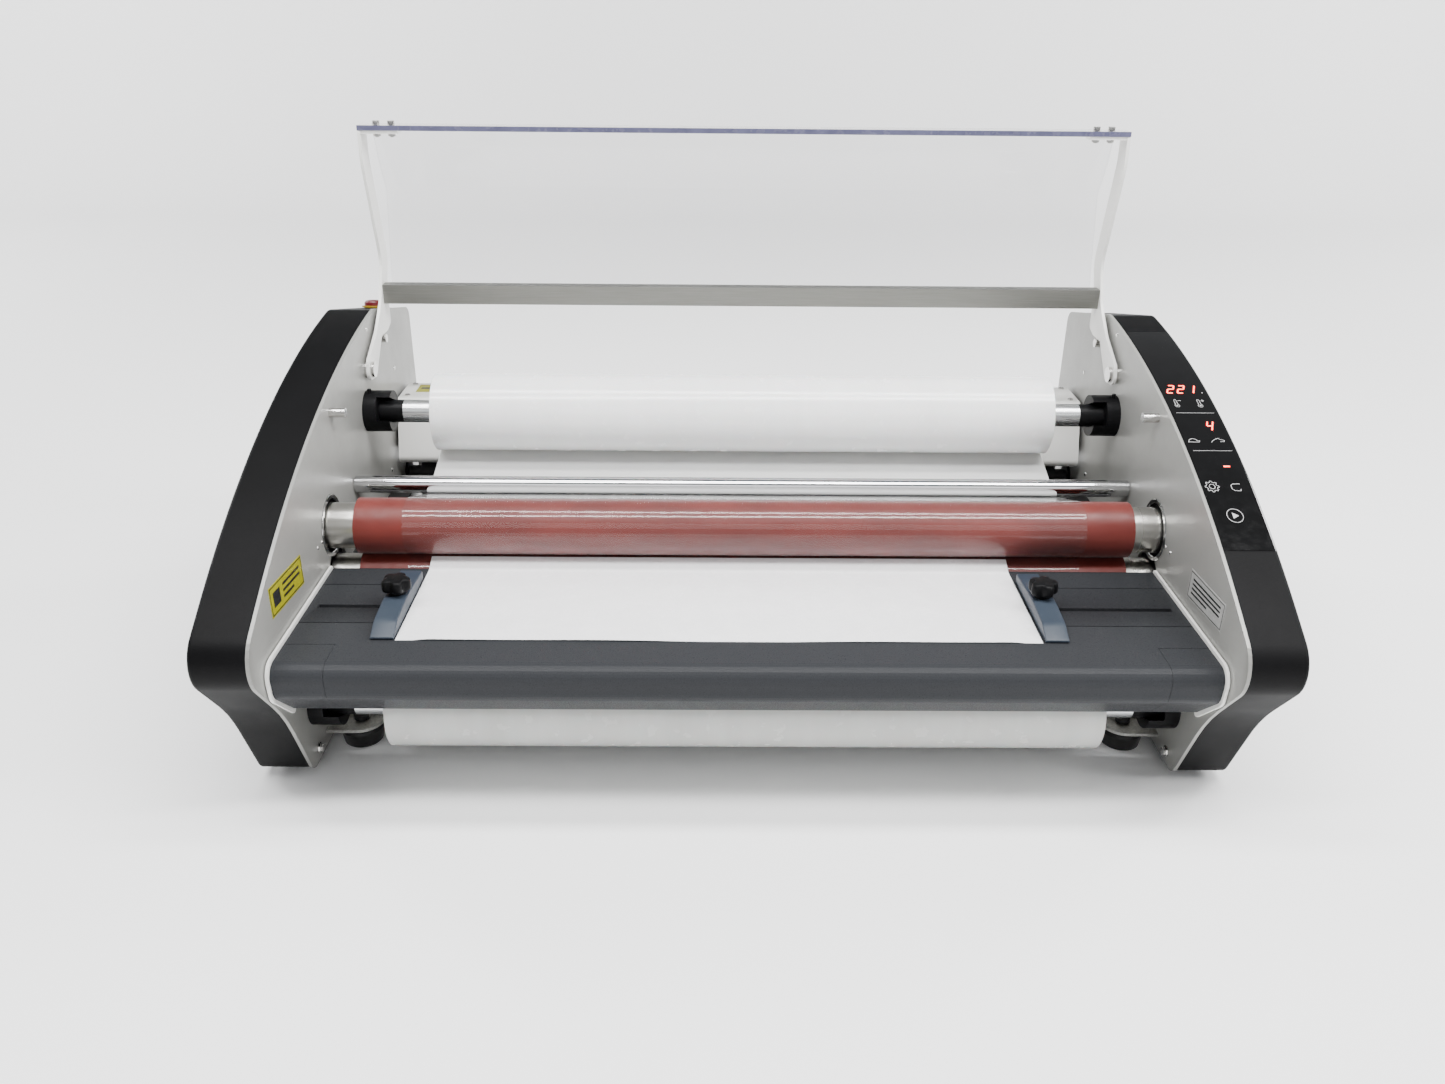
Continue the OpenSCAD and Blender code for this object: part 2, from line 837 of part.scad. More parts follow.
module shield_arms() {
    color(warm_white) difference() {
        both_ends() {
            difference() {
                slab(arm_in, arm_in + arm_t) polygon(rounded(ARM));
                rod(arm_in - 1, arm_in + 5, pivot_at, pivot_r + bearing_gap);
            }
            block([347, 158, flange_z - arm_t], [arm_in, 175, flange_z]);
        }
        at_shield_screws() translate([0, 0, flange_z - 10]) cylinder(h = 20, r = 2.1);
    }
}

// The panel lies on the flanges, then hangs down to the bar with a shallow crease
module shield_panel() {
    t = shield_t;
    top = flange_z + 0.2;
    color([0.9, 0.92, 0.95, 0.3]) difference() {
        union() {
            slab(-arm_in - arm_t, arm_in + arm_t) translate([157, top]) square([20, t]);
            slab(-shield_half, shield_half) polygon([[176, top], [189, 490], [208, 458], [189, 350],
                [189 + t, 350], [208 + t, 458], [189 + t, 494], [180, top + t], [176, top + t]]);
        }
        at_shield_screws() translate([0, 0, flange_z - 10]) cylinder(h = 20, r = 2.1);
    }
}

module shield_bar() {
    color([0.72, 0.72, 0.7]) slab(-arm_in, arm_in) difference() {
        translate([shield_bar_at[0] - 4, shield_bar_at[1] - 10]) square([13.8, 20]);
        translate([shield_bar_at[0] - 1, shield_bar_at[1] - 7.5]) square([8, 15]);
    }
}

module shield_screws() {
    top = flange_z + 0.2 + shield_t;
    color(steel) at_shield_screws() {
        translate([0, 0, top]) cylinder(h = 3.6, r = 3.6);
        translate([0, 0, flange_z - arm_t - 4]) cylinder(h = top - flange_z + arm_t + 5, r = 2);
        translate([0, 0, flange_z - arm_t - 3]) cylinder(h = 3, r = 3.8);
    }
}

// Shoulder bolts that carry the arms, the bolts they lean on when raised
// and the pins they lie on when closed
module shield_pivots_and_stops() {
    color(steel) both_ends() {
        rod(arm_in - 0.4, plate_in, pivot_at, pivot_r);
        rod(arm_in - 3.6, arm_in - 0.4, pivot_at, 8);
        rod(arm_in + arm_t + 0.4, plate_in, pivot_at, 9);
        rod(arm_in - 2, plate_in, stop_bolt_at, stop_r);
        rod(375, plate_in, rest_pin_at, stop_r);
    }
}

// ---- Emergency stop and labels ----

module on_rear_slope() {
    translate(stop_button_at) rotate([-rear_slope, 0, 0]) children();
}

module emergency_stop_base() {
    color([0.75, 0.62, 0.1]) on_rear_slope() difference() {
        union() {
            translate([0, 0, 0.6]) cylinder(h = 1.8, r = 14);
            translate([0, 0, -22]) cylinder(h = 22.7, r = 12);
        }
        translate([0, 0, -4]) cylinder(h = 10, r = 11.5);
        translate([0, 0, -16]) cylinder(h = 20, r = 4.3);
    }
}

module emergency_stop_button() {
    color([0.7, 0.05, 0.08]) on_rear_slope() rotate_extrude()
        polygon([[0, -11], [4, -11], [4, 0.6], [10.6, 0.6], [11.2, 1.4], [11.2, 5.6], [9.6, 7.8],
            [6, 8.8], [0, 9]]);
}

module plate_labels() {
    t = 0.4;
    color([0.75, 0.72, 0.1]) translate([-plate_in, -195, 0]) rotate([90, 0, 90]) linear_extrude(t)
        polygon([[-39.5, 183.3], [38.5, 176.6], [38.5, 204], [-39.5, 210.5]]);
    color([0.6, 0.6, 0.6]) translate([plate_in - t, -195, 0]) rotate([90, 0, 90]) linear_extrude(t)
        polygon([[-41, 176], [33, 171], [33, 198], [-41, 201.5]]);
}

left_side_plate();
right_side_plate();
left_end_cover();
right_end_cover();
control_panel();
control_board();
led_displays();
front_crossbar();
base_pan();
cooling_plate();
rear_housing();
rear_panel();
power_inlet();
power_rocker();
power_board();
fan_housing();
fan_rotor();
foot_brackets();
rubber_feet();
table_top();
table_corner_caps();
table_end_plates();
left_guide();
right_guide();
left_guide_knob();
right_guide_knob();
roller_bearings();
upper_roller_core();
upper_roller_sleeve();
upper_roller_gear();
lower_roller_core();
lower_roller_sleeve();
lower_roller_gear();
roller_heaters();
upper_pull_roller();
lower_pull_roller();
pull_roller_sprocket();
pull_roller_bearings();
drive_motor();
motor_sprocket();
drive_chain();
idler_bar();
mandrel_cups();
upper_mandrel_tube();
upper_mandrel_ends();
upper_film_roll();
lower_mandrel_tube();
lower_mandrel_ends();
lower_film_roll();
upper_film_web();
lower_film_web();
loaded_sheet();
shield_arms();
shield_panel();
shield_bar();
shield_screws();
shield_pivots_and_stops();
emergency_stop_base();
emergency_stop_button();
plate_labels();
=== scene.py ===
import math

import bmesh
import bpy
from mathutils import Matrix, Vector


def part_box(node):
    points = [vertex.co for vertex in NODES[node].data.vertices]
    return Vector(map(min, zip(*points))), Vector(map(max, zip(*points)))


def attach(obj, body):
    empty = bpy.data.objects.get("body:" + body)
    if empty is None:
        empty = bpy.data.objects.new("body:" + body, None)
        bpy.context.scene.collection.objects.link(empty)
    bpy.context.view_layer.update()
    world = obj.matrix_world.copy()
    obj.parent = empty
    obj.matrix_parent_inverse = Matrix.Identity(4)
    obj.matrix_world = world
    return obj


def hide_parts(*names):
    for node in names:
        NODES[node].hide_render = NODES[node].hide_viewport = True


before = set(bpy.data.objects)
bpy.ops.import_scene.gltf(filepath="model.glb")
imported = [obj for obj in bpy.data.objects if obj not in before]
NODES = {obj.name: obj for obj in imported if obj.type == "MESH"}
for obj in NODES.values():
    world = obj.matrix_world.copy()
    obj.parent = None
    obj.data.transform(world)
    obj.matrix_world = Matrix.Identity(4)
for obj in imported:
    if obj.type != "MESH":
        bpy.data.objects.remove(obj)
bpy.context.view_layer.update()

MM = 0.001


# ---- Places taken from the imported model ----

def centre(node):
    low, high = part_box(node)
    return (low + high) / 2


def half_size(node):
    low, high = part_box(node)
    return (high - low) / 2


# ---- Materials ----

class Paint:
    """A node material under construction: one Principled shader and metre-scaled object coordinates."""

    def __init__(self, name, **sockets):
        self.material = bpy.data.materials.new(name)
        self.material.use_nodes = True
        self.nodes = self.material.node_tree.nodes
        self.links = self.material.node_tree.links
        self.shader = self.nodes["Principled BSDF"]
        for socket, value in sockets.items():
            self.shader.inputs[socket.replace("_", " ")].default_value = value
        self.coordinates = self.nodes.new("ShaderNodeTexCoord").outputs["Object"]
        self.normal = None

    def stretched(self, stretch):
        mapping = self.nodes.new("ShaderNodeMapping")
        mapping.inputs["Scale"].default_value = stretch
        self.links.new(self.coordinates, mapping.inputs["Vector"])
        return mapping.outputs["Vector"]

    def noise(self, size, stretch=(1, 1, 1), detail=3.0, rough=0.55):
        """Noise whose features are about `size` metres across."""
        texture = self.nodes.new("ShaderNodeTexNoise")
        texture.inputs["Scale"].default_value = 1 / size
        texture.inputs["Detail"].default_value = detail
        texture.inputs["Roughness"].default_value = rough
        self.links.new(self.stretched(stretch), texture.inputs["Vector"])
        return texture.outputs["Fac"]

    def cells(self, size, stretch=(1, 1, 1)):
        texture = self.nodes.new("ShaderNodeTexVoronoi")
        texture.inputs["Scale"].default_value = 1 / size
        self.links.new(self.stretched(stretch), texture.inputs["Vector"])
        return texture.outputs["Distance"]

    def ramp(self, value, low, high, start=0.35, end=0.65):
        """Spreads a 0 to 1 value between two numbers or colours."""
        if isinstance(low, (int, float)):
            spread = self.nodes.new("ShaderNodeMapRange")
            spread.inputs["From Min"].default_value = start
            spread.inputs["From Max"].default_value = end
            spread.inputs["To Min"].default_value = low
            spread.inputs["To Max"].default_value = high
            self.links.new(value, spread.inputs["Value"])
            return spread.outputs["Result"]
        spread = self.nodes.new("ShaderNodeValToRGB")
        spread.color_ramp.elements[0].position = start
        spread.color_ramp.elements[1].position = end
        spread.color_ramp.elements[0].color = (*low, 1)
        spread.color_ramp.elements[1].color = (*high, 1)
        self.links.new(value, spread.inputs["Fac"])
        return spread.outputs["Color"]

    def colour(self, value):
        self.links.new(value, self.shader.inputs["Base Color"])
        return self

    def roughness(self, value):
        self.links.new(value, self.shader.inputs["Roughness"])
        return self

    def bump(self, height, strength, distance):
        bump = self.nodes.new("ShaderNodeBump")
        bump.inputs["Strength"].default_value = strength
        bump.inputs["Distance"].default_value = distance
        self.links.new(height, bump.inputs["Height"])
        if self.normal is not None:
            self.links.new(self.normal, bump.inputs["Normal"])
        self.normal = bump.outputs["Normal"]
        self.links.new(self.normal, self.shader.inputs["Normal"])
        return self

    def mixed(self, amount, first, second):
        """Mixes two shaders by a number or by a socket's value."""
        mix = self.nodes.new("ShaderNodeMixShader")
        if isinstance(amount, (int, float)):
            mix.inputs["Fac"].default_value = amount
        else:
            self.links.new(amount, mix.inputs["Fac"])
        self.links.new(first, mix.inputs[1])
        self.links.new(second, mix.inputs[2])
        return mix.outputs[0]

    def maths(self, operation, value, *numbers):
        node = self.nodes.new("ShaderNodeMath")
        node.operation = operation
        self.links.new(value, node.inputs[0])
        for place, number in enumerate(numbers, 1):
            node.inputs[place].default_value = number
        return node.outputs[0]

    def worn_and_highlit_edges(self, base, wear_and_highlight, amount=0.6):
        """Mixes a lighter colour into a colour where the surface turns sharply outwards: partly edge wear,
        partly a painted highlight along the edges.
        """
        geometry = self.nodes.new("ShaderNodeNewGeometry")
        edge = self.ramp(geometry.outputs["Pointiness"], 0.0, amount, 0.52, 0.6)
        mix = self.nodes.new("ShaderNodeMix")
        mix.data_type = "RGBA"
        self.links.new(edge, mix.inputs["Factor"])
        self.links.new(base, mix.inputs["A"])
        mix.inputs["B"].default_value = (*wear_and_highlight, 1)
        return mix.outputs["Result"]


def moulded(name, colour, light, grain=0.0009, rough=(0.47, 0.54), depth=0.00008):
    """Injection-moulded plastic with a fine spark-eroded grain."""
    p = Paint(name, Specular_IOR_Level=0.08)
    # Outward edges are lighter: partly wear, partly a painted highlight.
    p.colour(p.worn_and_highlit_edges(p.ramp(p.noise(0.05), colour, light), [c * 1.8 for c in light], 0.35))
    p.roughness(p.ramp(p.noise(0.08), *rough))
    p.bump(p.cells(grain), 0.55, depth)
    p.bump(p.noise(grain * 2.2), 0.3, depth)
    return p.material


def powder_coat(name, colour, light, texture=0.0016, rough=(0.3, 0.42), depth=0.00012, strength=0.35):
    """Powder coat with its slight orange peel."""
    p = Paint(name, Specular_IOR_Level=0.5)
    # Outward edges are lighter: partly wear, partly a painted highlight.
    p.colour(p.worn_and_highlit_edges(p.ramp(p.noise(0.12), colour, light), [min(1, c * 1.25) for c in light]))
    p.roughness(p.ramp(p.noise(0.03), *rough))
    p.bump(p.noise(texture, detail=2.0), strength, depth)
    return p.material


def satin_plate(name, colour, light):
    """Satin metallic paint: soft reflections, fine speckle."""
    p = Paint(name, Metallic=0.2, Specular_IOR_Level=0.3)
    # The plate's outward edges turn much lighter: partly wear, partly a painted highlight line.
    p.colour(p.worn_and_highlit_edges(p.ramp(p.noise(0.15), colour, light), (0.45, 0.45, 0.43), 0.5))
    p.roughness(p.ramp(p.noise(0.02), 0.3, 0.38))
    p.bump(p.noise(0.0007, detail=2.0), 0.3, 0.00005)
    return p.material


def brushed(name, colour, light, stretch, rough=(0.22, 0.36), line=0.0006):
    """Metal with fine machining lines, drawn out where `stretch` is small."""
    p = Paint(name, Metallic=1.0)
    lines = p.noise(line, stretch, detail=4.0)
    p.colour(p.ramp(lines, colour, light, 0.3, 0.7))
    p.roughness(p.ramp(p.noise(line * 3, stretch), *rough))
    p.bump(lines, 0.1, 0.00002)
    return p.material


def ground_rubber(name, colour, light):
    """Ground silicone or rubber with faint grinding rings and rubbed patches."""
    p = Paint(name, Specular_IOR_Level=0.35, Sheen_Weight=0.15, Sheen_Roughness=0.5)
    p.colour(p.ramp(p.noise(0.035, (0.6, 1, 1)), colour, light))
    p.roughness(p.ramp(p.noise(0.012), 0.38, 0.55))
    p.bump(p.noise(0.0011, (2.5, 0.4, 0.4)), 0.25, 0.00006)
    p.bump(p.cells(0.0007), 0.2, 0.00004)
    return p.material


def glossy(name, colour, light, rough=(0.08, 0.16), coat=0.3):
    """Polished plastic with faint handling marks."""
    p = Paint(name, Coat_Weight=coat, Coat_Roughness=0.06)
    p.colour(p.ramp(p.noise(0.02), colour, light))
    p.roughness(p.ramp(p.noise(0.008, detail=5.0), *rough))
    p.bump(p.noise(0.006), 0.06, 0.00004)
    return p.material


def clear(name, tint, reflect, haze, rough, ripple=0.0):
    """Clear film or sheet: see-through, with a reflection on its front faces only.

    `reflect` is the share reflected face-on. It grows with the fifth power towards grazing angles.
    """
    p = Paint(name, Base_Color=(*tint, 1), Specular_IOR_Level=0.8)
    p.roughness(p.ramp(p.noise(0.03), rough, rough * 1.8))
    if ripple:
        p.bump(p.noise(0.05, (0.5, 1.5, 1.5)), 0.4, ripple)
    p.colour(p.ramp(p.noise(0.08), tint, [min(1, c * 1.05) for c in tint]))
    through = p.nodes.new("ShaderNodeBsdfTransparent")
    through.inputs["Color"].default_value = (*tint, 1)
    mirror = p.nodes.new("ShaderNodeBsdfGlossy")
    mirror.inputs["Roughness"].default_value = rough
    if p.normal is not None:
        p.links.new(p.normal, mirror.inputs["Normal"])
    hazy = p.mixed(haze, through.outputs[0], p.shader.outputs[0])
    facing = p.nodes.new("ShaderNodeLayerWeight")
    facing.inputs["Blend"].default_value = 0.5
    steep = p.maths("POWER", facing.outputs["Facing"], 5.0)
    amount = p.maths("MULTIPLY_ADD", steep, 1.0 - reflect, reflect)
    shine = p.mixed(amount, hazy, mirror.outputs[0])
    side = p.nodes.new("ShaderNodeNewGeometry")
    once = p.mixed(side.outputs["Backfacing"], shine, through.outputs[0])
    p.links.new(once, p.nodes["Material Output"].inputs["Surface"])
    return p.material


def wound_film(name, colour, light):
    """Milky wound film: soft, semi-gloss, with faint rings where layers start and end."""
    p = Paint(name, Specular_IOR_Level=0.55, Coat_Weight=0.25, Coat_Roughness=0.12,
              Subsurface_Weight=0.15, Subsurface_Scale=0.006)
    bands = p.noise(0.02, (1.0, 0.15, 0.15), detail=5.0)
    p.colour(p.ramp(bands, colour, light, 0.25, 0.75))
    p.roughness(p.ramp(p.noise(0.015), 0.16, 0.28))
    p.bump(p.noise(0.06, (2.2, 0.6, 0.6), detail=1.0), 0.15, 0.0005)
    return p.material


def glowing(name, colour, strength):
    p = Paint(name, Emission_Color=(*colour, 1), Emission_Strength=strength, Roughness=0.4)
    p.colour(p.ramp(p.noise(0.002), colour, [min(1, c * 1.2 + 0.05) for c in colour]))
    return p.material


def printed(name, colour, light, rough=(0.3, 0.45)):
    p = Paint(name, Specular_IOR_Level=0.4)
    p.colour(p.ramp(p.noise(0.006), colour, light))
    p.roughness(p.ramp(p.noise(0.01), *rough))
    p.bump(p.noise(0.0012), 0.1, 0.00003)
    return p.material


LENGTHWISE = (0.02, 1, 1)
ROUND_X = (1, 0.02, 0.02)

MATERIALS = {
    "plate": satin_plate("plate_paint", (0.098, 0.096, 0.088), (0.122, 0.120, 0.110)),
    "white_steel": powder_coat("white_steel", (0.62, 0.615, 0.59), (0.67, 0.665, 0.64)),
    "cover": moulded("cover_plastic", (0.0020, 0.0020, 0.0022), (0.0025, 0.0025, 0.0028)),
    "panel": glossy("panel_gloss", (0.0008, 0.0008, 0.0009), (0.0015, 0.0015, 0.0017), coat=0.08),
    "board": glossy("board_green", (0.03, 0.13, 0.05), (0.05, 0.18, 0.08), (0.3, 0.45)),
    "display": glossy("display_window", (0.20, 0.01, 0.01), (0.28, 0.02, 0.02)),
    # Black sheet closing the machine's interior: its black is painted shade standing in for the dark inside
    # the machine.
    "black_steel_painted_shade": powder_coat("black_steel_painted_shade", (0.005, 0.005, 0.0054), (0.009, 0.009, 0.0095),
                               rough=(0.4, 0.55)),
    "black": moulded("black_moulding", (0.003, 0.003, 0.0033), (0.006, 0.006, 0.0065), 0.0007),
    "cup": moulded("cup_moulding", (0.0028, 0.0028, 0.0031), (0.0055, 0.0055, 0.006), 0.0009,
                   (0.28, 0.4)),
    "red_plastic": glossy("red_plastic", (0.080, 0.0006, 0.0040), (0.110, 0.0010, 0.0060),
                          (0.28, 0.4), 0.1),
    "yellow_plastic": glossy("yellow_plastic", (0.30, 0.19, 0.006), (0.36, 0.23, 0.009),
                             (0.3, 0.4), 0.1),
    "zinc": brushed("zinc_plate", (0.42, 0.42, 0.40), (0.58, 0.58, 0.55), (1, 1, 1), (0.3, 0.5), 0.002),
    "bright": brushed("bright_steel", (0.62, 0.61, 0.59), (0.74, 0.73, 0.71), (1, 1, 0.1), (0.14, 0.24)),
    "journal": brushed("turned_steel", (0.50, 0.49, 0.46), (0.55, 0.54, 0.51), ROUND_X,
                       (0.26, 0.32), 0.02),
    "chrome": brushed("chrome_bar", (0.60, 0.60, 0.61), (0.66, 0.66, 0.67), LENGTHWISE,
                      (0.09, 0.12), 0.05),
    "chrome_ring": brushed("ring_steel", (0.52, 0.52, 0.51), (0.6, 0.6, 0.59), (1, 1, 1),
                           (0.12, 0.2), 0.003),
    "aluminium": brushed("drawn_aluminium", (0.60, 0.61, 0.62), (0.74, 0.75, 0.76), LENGTHWISE),
    "bar": brushed("satin_bar", (0.21, 0.21, 0.19), (0.25, 0.25, 0.23), LENGTHWISE, (0.3, 0.42)),
    "rubber": ground_rubber("foot_rubber", (0.003, 0.003, 0.003), (0.006, 0.006, 0.006)),
    "pull_rubber": ground_rubber("pull_rubber", (0.02, 0.02, 0.021), (0.03, 0.03, 0.031)),
    "silicone": ground_rubber("red_silicone", (0.100, 0.0105, 0.007), (0.135, 0.016, 0.011)),
    "nylon": printed("gear_nylon", (0.62, 0.58, 0.46), (0.7, 0.66, 0.54)),
    "quartz": clear("heater_quartz", (0.8, 0.8, 0.78), 0.04, 0.5, 0.2),
    "film": clear("film_clear", (0.98, 0.98, 0.98), 0.03, 0.012, 0.06),
    # Hazier, greyer copy of the clear film for the web behind the roller: partly the film's own haze,
    # partly a painted sheen standing in for its reflection at grazing angles.
    "film_milky_painted_sheen": clear("film_milky_painted_sheen", (0.74, 0.74, 0.73), 0.04, 0.7, 0.10),
    "shield": clear("shield_clear", (0.972, 0.972, 0.975), 0.05, 0.05, 0.04),
    "shield_edge": glossy("shield_edge", (0.07, 0.07, 0.125), (0.095, 0.095, 0.165), (0.2, 0.3)),
    "film_roll": wound_film("film_roll", (0.84, 0.84, 0.84), (0.90, 0.90, 0.90)),
    # The lower roll holds the same white film as the upper one; this darker copy is painted shade from the
    # feed table above it.
    "film_roll_low": wound_film("film_roll_low", (0.50, 0.505, 0.485), (0.56, 0.565, 0.545)),
    "paper": glossy("coated_paper", (0.86, 0.86, 0.87), (0.90, 0.90, 0.91), (0.2, 0.3), 0.5),
    "guide": powder_coat("guide_blue", (0.017, 0.025, 0.037), (0.024, 0.034, 0.049), rough=(0.38, 0.5)),
    "label_yellow": printed("label_yellow", (0.27, 0.26, 0.003), (0.32, 0.30, 0.005)),
    "label_grey": printed("label_grey", (0.30, 0.30, 0.29), (0.35, 0.35, 0.34)),
    "ink": printed("label_ink", (0.01, 0.01, 0.01), (0.02, 0.02, 0.02)),
    "white_ink": printed("panel_print", (0.40, 0.40, 0.40), (0.46, 0.46, 0.46)),
    "digits": glowing("lit_digits", (1.0, 0.004, 0.003), 2.0),
    "digit_cores": glowing("lit_digit_cores", (1.0, 0.46, 0.18), 5.0),
}


def table_paint():
    """Slate powder coat with a fine sparkling texture."""
    p = Paint("table_slate", Specular_IOR_Level=0.09)
    tone = p.ramp(p.noise(0.0007, detail=2.0), (0.0065, 0.0068, 0.0078), (0.0145, 0.0152, 0.0170),
                  0.4, 0.62)
    # Outward edges, such as the lip's crease, turn lighter grey: partly wear, partly a painted highlight.
    p.colour(p.worn_and_highlit_edges(tone, (0.04, 0.042, 0.046), 0.5))
    p.roughness(p.ramp(p.noise(0.0009), 0.26, 0.46))
    p.bump(p.noise(0.0011, detail=2.0), 0.75, 0.0002)
    return p.material


MATERIALS["table"] = table_paint()

NODE_MATERIAL = {
    "plate": ["left_side_plate", "right_side_plate"],
    "white_steel": ["front_crossbar", "base_pan", "rear_housing", "rear_panel", "table_end_plates",
                    "shield_arms"],
    "panel": ["control_panel"],
    "board": ["control_board", "power_board"],
    "display": ["led_displays"],
    # The cooling plate's black is painted shade for the machine's dark interior.
    "black_steel_painted_shade": ["cooling_plate"],
    "black": ["power_inlet", "fan_housing", "fan_rotor", "roller_bearings", "pull_roller_bearings"],
    "cup": ["mandrel_cups", "upper_mandrel_ends", "lower_mandrel_ends"],
    "red_plastic": ["power_rocker", "emergency_stop_button"],
    "yellow_plastic": ["emergency_stop_base"],
    "zinc": ["foot_brackets", "drive_motor", "drive_chain"],
    "bright": ["shield_screws", "shield_pivots_and_stops"],
    "journal": ["upper_roller_core", "lower_roller_core"],
    "chrome": ["idler_bar"],
    "aluminium": ["upper_mandrel_tube", "lower_mandrel_tube"],
    "bar": ["shield_bar"],
    "rubber": ["rubber_feet"],
    "pull_rubber": ["upper_pull_roller", "lower_pull_roller"],
    "silicone": ["upper_roller_sleeve", "lower_roller_sleeve"],
    "nylon": ["upper_roller_gear", "lower_roller_gear", "pull_roller_sprocket", "motor_sprocket"],
    "quartz": ["roller_heaters"],
    "table": ["table_top", "table_corner_caps"],
}
for key, names in NODE_MATERIAL.items():
    for name in names:
        mesh = NODES[name].data
        mesh.materials.clear()
        mesh.materials.append(MATERIALS[key])


# ---- Mesh making ----

def piece(name, verts, faces, materials, body, hides=(), smooth_angle=35, face_material=None):
    """A mesh in the model's own frame that rides on a body and may stand for CAD nodes."""
    mesh = bpy.data.meshes.new(name)
    mesh.from_pydata([tuple(v) for v in verts], [], faces)
    for key in ([materials] if isinstance(materials, str) else materials):
        mesh.materials.append(MATERIALS[key])
    if face_material:
        for polygon in mesh.polygons:
            polygon.material_index = face_material(polygon)
    bm = bmesh.new()
    bm.from_mesh(mesh)
    bmesh.ops.recalc_face_normals(bm, faces=bm.faces)
    bm.to_mesh(mesh)
    bm.free()
    mesh.shade_smooth()
    mesh.set_sharp_from_angle(angle=math.radians(smooth_angle))
    made = bpy.data.objects.new(name, mesh)
    bpy.context.scene.collection.objects.link(made)
    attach(made, body)
    if hides:
        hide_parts(*hides)
    return made


def loft(rings, closed_ends=True):
    """Faces between rings of equal length, capped at both ends."""
    verts = [p for ring in rings for p in ring]
    n = len(rings[0])
    faces = []
    for k in range(len(rings) - 1):
        for i in range(n):
            j = (i + 1) % n
            faces.append((k * n + i, k * n + j, (k + 1) * n + j, (k + 1) * n + i))
    if closed_ends:
        faces.append(tuple(range(n)))
        faces.append(tuple((len(rings) - 1) * n + i for i in range(n)))
    return verts, faces


def joined(parts):
    verts, faces = [], []
    for v, f in parts:
        base = len(verts)
        verts += list(v)
        faces += [tuple(base + i for i in face) for face in f]
    return verts, faces


def at_x(outline, x):
    return [Vector((x, p[0], p[1])) for p in outline]


def circle(centre_yz, radius, count=96, start=0.0):
    return [(centre_yz[0] + radius * math.cos(start + 2 * math.pi * i / count),
             centre_yz[1] + radius * math.sin(start + 2 * math.pi * i / count)) for i in range(count)]


def turned_shape(axis_yz, profile, count=96):
    """Solid of revolution about an X-wise axis from (x, radius) points; closed back to its start."""
    rings = [at_x(circle(axis_yz, r, count), x) for x, r in profile]
    rings.append(rings[0])
    verts, faces = loft(rings, closed_ends=False)
    last = len(profile) * count
    faces = [tuple(i % last for i in face) for face in faces]
    return verts[:last], faces


# ---- Outlines: corners given as (y, z, corner radius) ----

def unit(v):
    return v / v.length


def corner_centre(before, at, after):
    """Centre of a corner's rounding, the directions to both neighbours, and half the corner's angle."""
    p = Vector(at[:2])
    a, b = unit(Vector(before[:2]) - p), unit(Vector(after[:2]) - p)
    half = math.acos(max(-1, min(1, a.dot(b)))) / 2
    return p + unit(a + b) * at[2] / math.sin(half), a, b, half


def rounded(corners, inset=0.0, step=0.012, turn_step=5):
    """Closed outline with rounded corners, drawn `inset` inside; the point count ignores inset."""
    outline = []
    n = len(corners)
    for i, at in enumerate(corners):
        middle, a, b, half = corner_centre(corners[i - 1], at, corners[(i + 1) % n])
        out = Vector(at[:2]) + a * at[2] / math.tan(half) - middle
        start = math.atan2(out.y, out.x)
        bend = math.copysign(1, b.x * a.y - b.y * a.x)
        turn = bend * (math.pi - 2 * half)
        radius = at[2] - bend * inset
        steps = max(3, math.ceil(at[2] * abs(turn) / step),
                    math.ceil(abs(math.degrees(turn)) / turn_step))
        for k in range(steps + 1):
            angle = start + turn * k / steps
            outline.append((middle.x + radius * math.cos(angle), middle.y + radius * math.sin(angle)))
    return outline


plate_low, plate_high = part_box("right_side_plate")
REAR_Y = plate_high.y
# Side outline of the end covers; its long top is an arc round CROWN
CASE = [
    (REAR_Y, 0.009, 0.012), (REAR_Y, 0.309, 0.016), (0.152, 0.3425, 0.025),
    (-0.070, 0.320, 0.955), (-REAR_Y - 0.0162, 0.174, 0.031), (-0.242, 0.093, 0.200),
    (-0.202, 0.008, 0.014),
]
CROWN = corner_centre(CASE[2], CASE[3], CASE[4])[0]
CROWN_R = CASE[3][2]


# ---- End covers ----

COVER_EDGE_R = 4 * MM
COVER_WALL = 3 * MM
# How far the outline above stands outside the covers' own skin
CASE_MARGIN = 0.8 * MM


def end_cover(name, side, node):
    low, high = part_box(node)
    x_in = min(abs(low.x), abs(high.x))
    x_out = max(abs(low.x), abs(high.x))
    edge_x = x_out - COVER_EDGE_R
    rings = [at_x(rounded(CASE, CASE_MARGIN), side * x) for x in (x_in, edge_x)]
    for k in range(1, 10):
        a = math.radians(10 * k)
        rings.append(at_x(rounded(CASE, CASE_MARGIN + COVER_EDGE_R * (1 - math.cos(a))),
                          side * (edge_x + COVER_EDGE_R * math.sin(a))))
    inner_outline = rounded(CASE, CASE_MARGIN + COVER_WALL)
    outer = loft(rings)
    inner = loft([at_x(inner_outline, side * x_in), at_x(inner_outline, side * (x_out - COVER_WALL))])
    # The cover is open towards the machine, so both skins lose their first cap
    for skin in (outer, inner):
        skin[1].pop(-2)
    verts, faces = joined([outer, inner])
    n = len(inner_outline)
    shift = len(outer[0])
    for i in range(n):
        j = (i + 1) % n
        faces.append((i, j, shift + j, shift + i))
    return piece(name, verts, faces, "cover", "frame", (node,), 30)


end_cover("left_end_cover_shell", -1, "left_end_cover")
end_cover("right_end_cover_shell", 1, "right_end_cover")


# ---- Control panel print and lit digits ----

def on_crown(x, y, lift):
    """A point over the curved top of the case: x across, y along, lift outwards from its surface."""
    z = CROWN.y + math.sqrt(CROWN_R ** 2 - (y - CROWN.x) ** 2)
    out = unit(Vector((y, z)) - CROWN)
    return Vector((x, y + out.x * lift, z + out.y * lift))


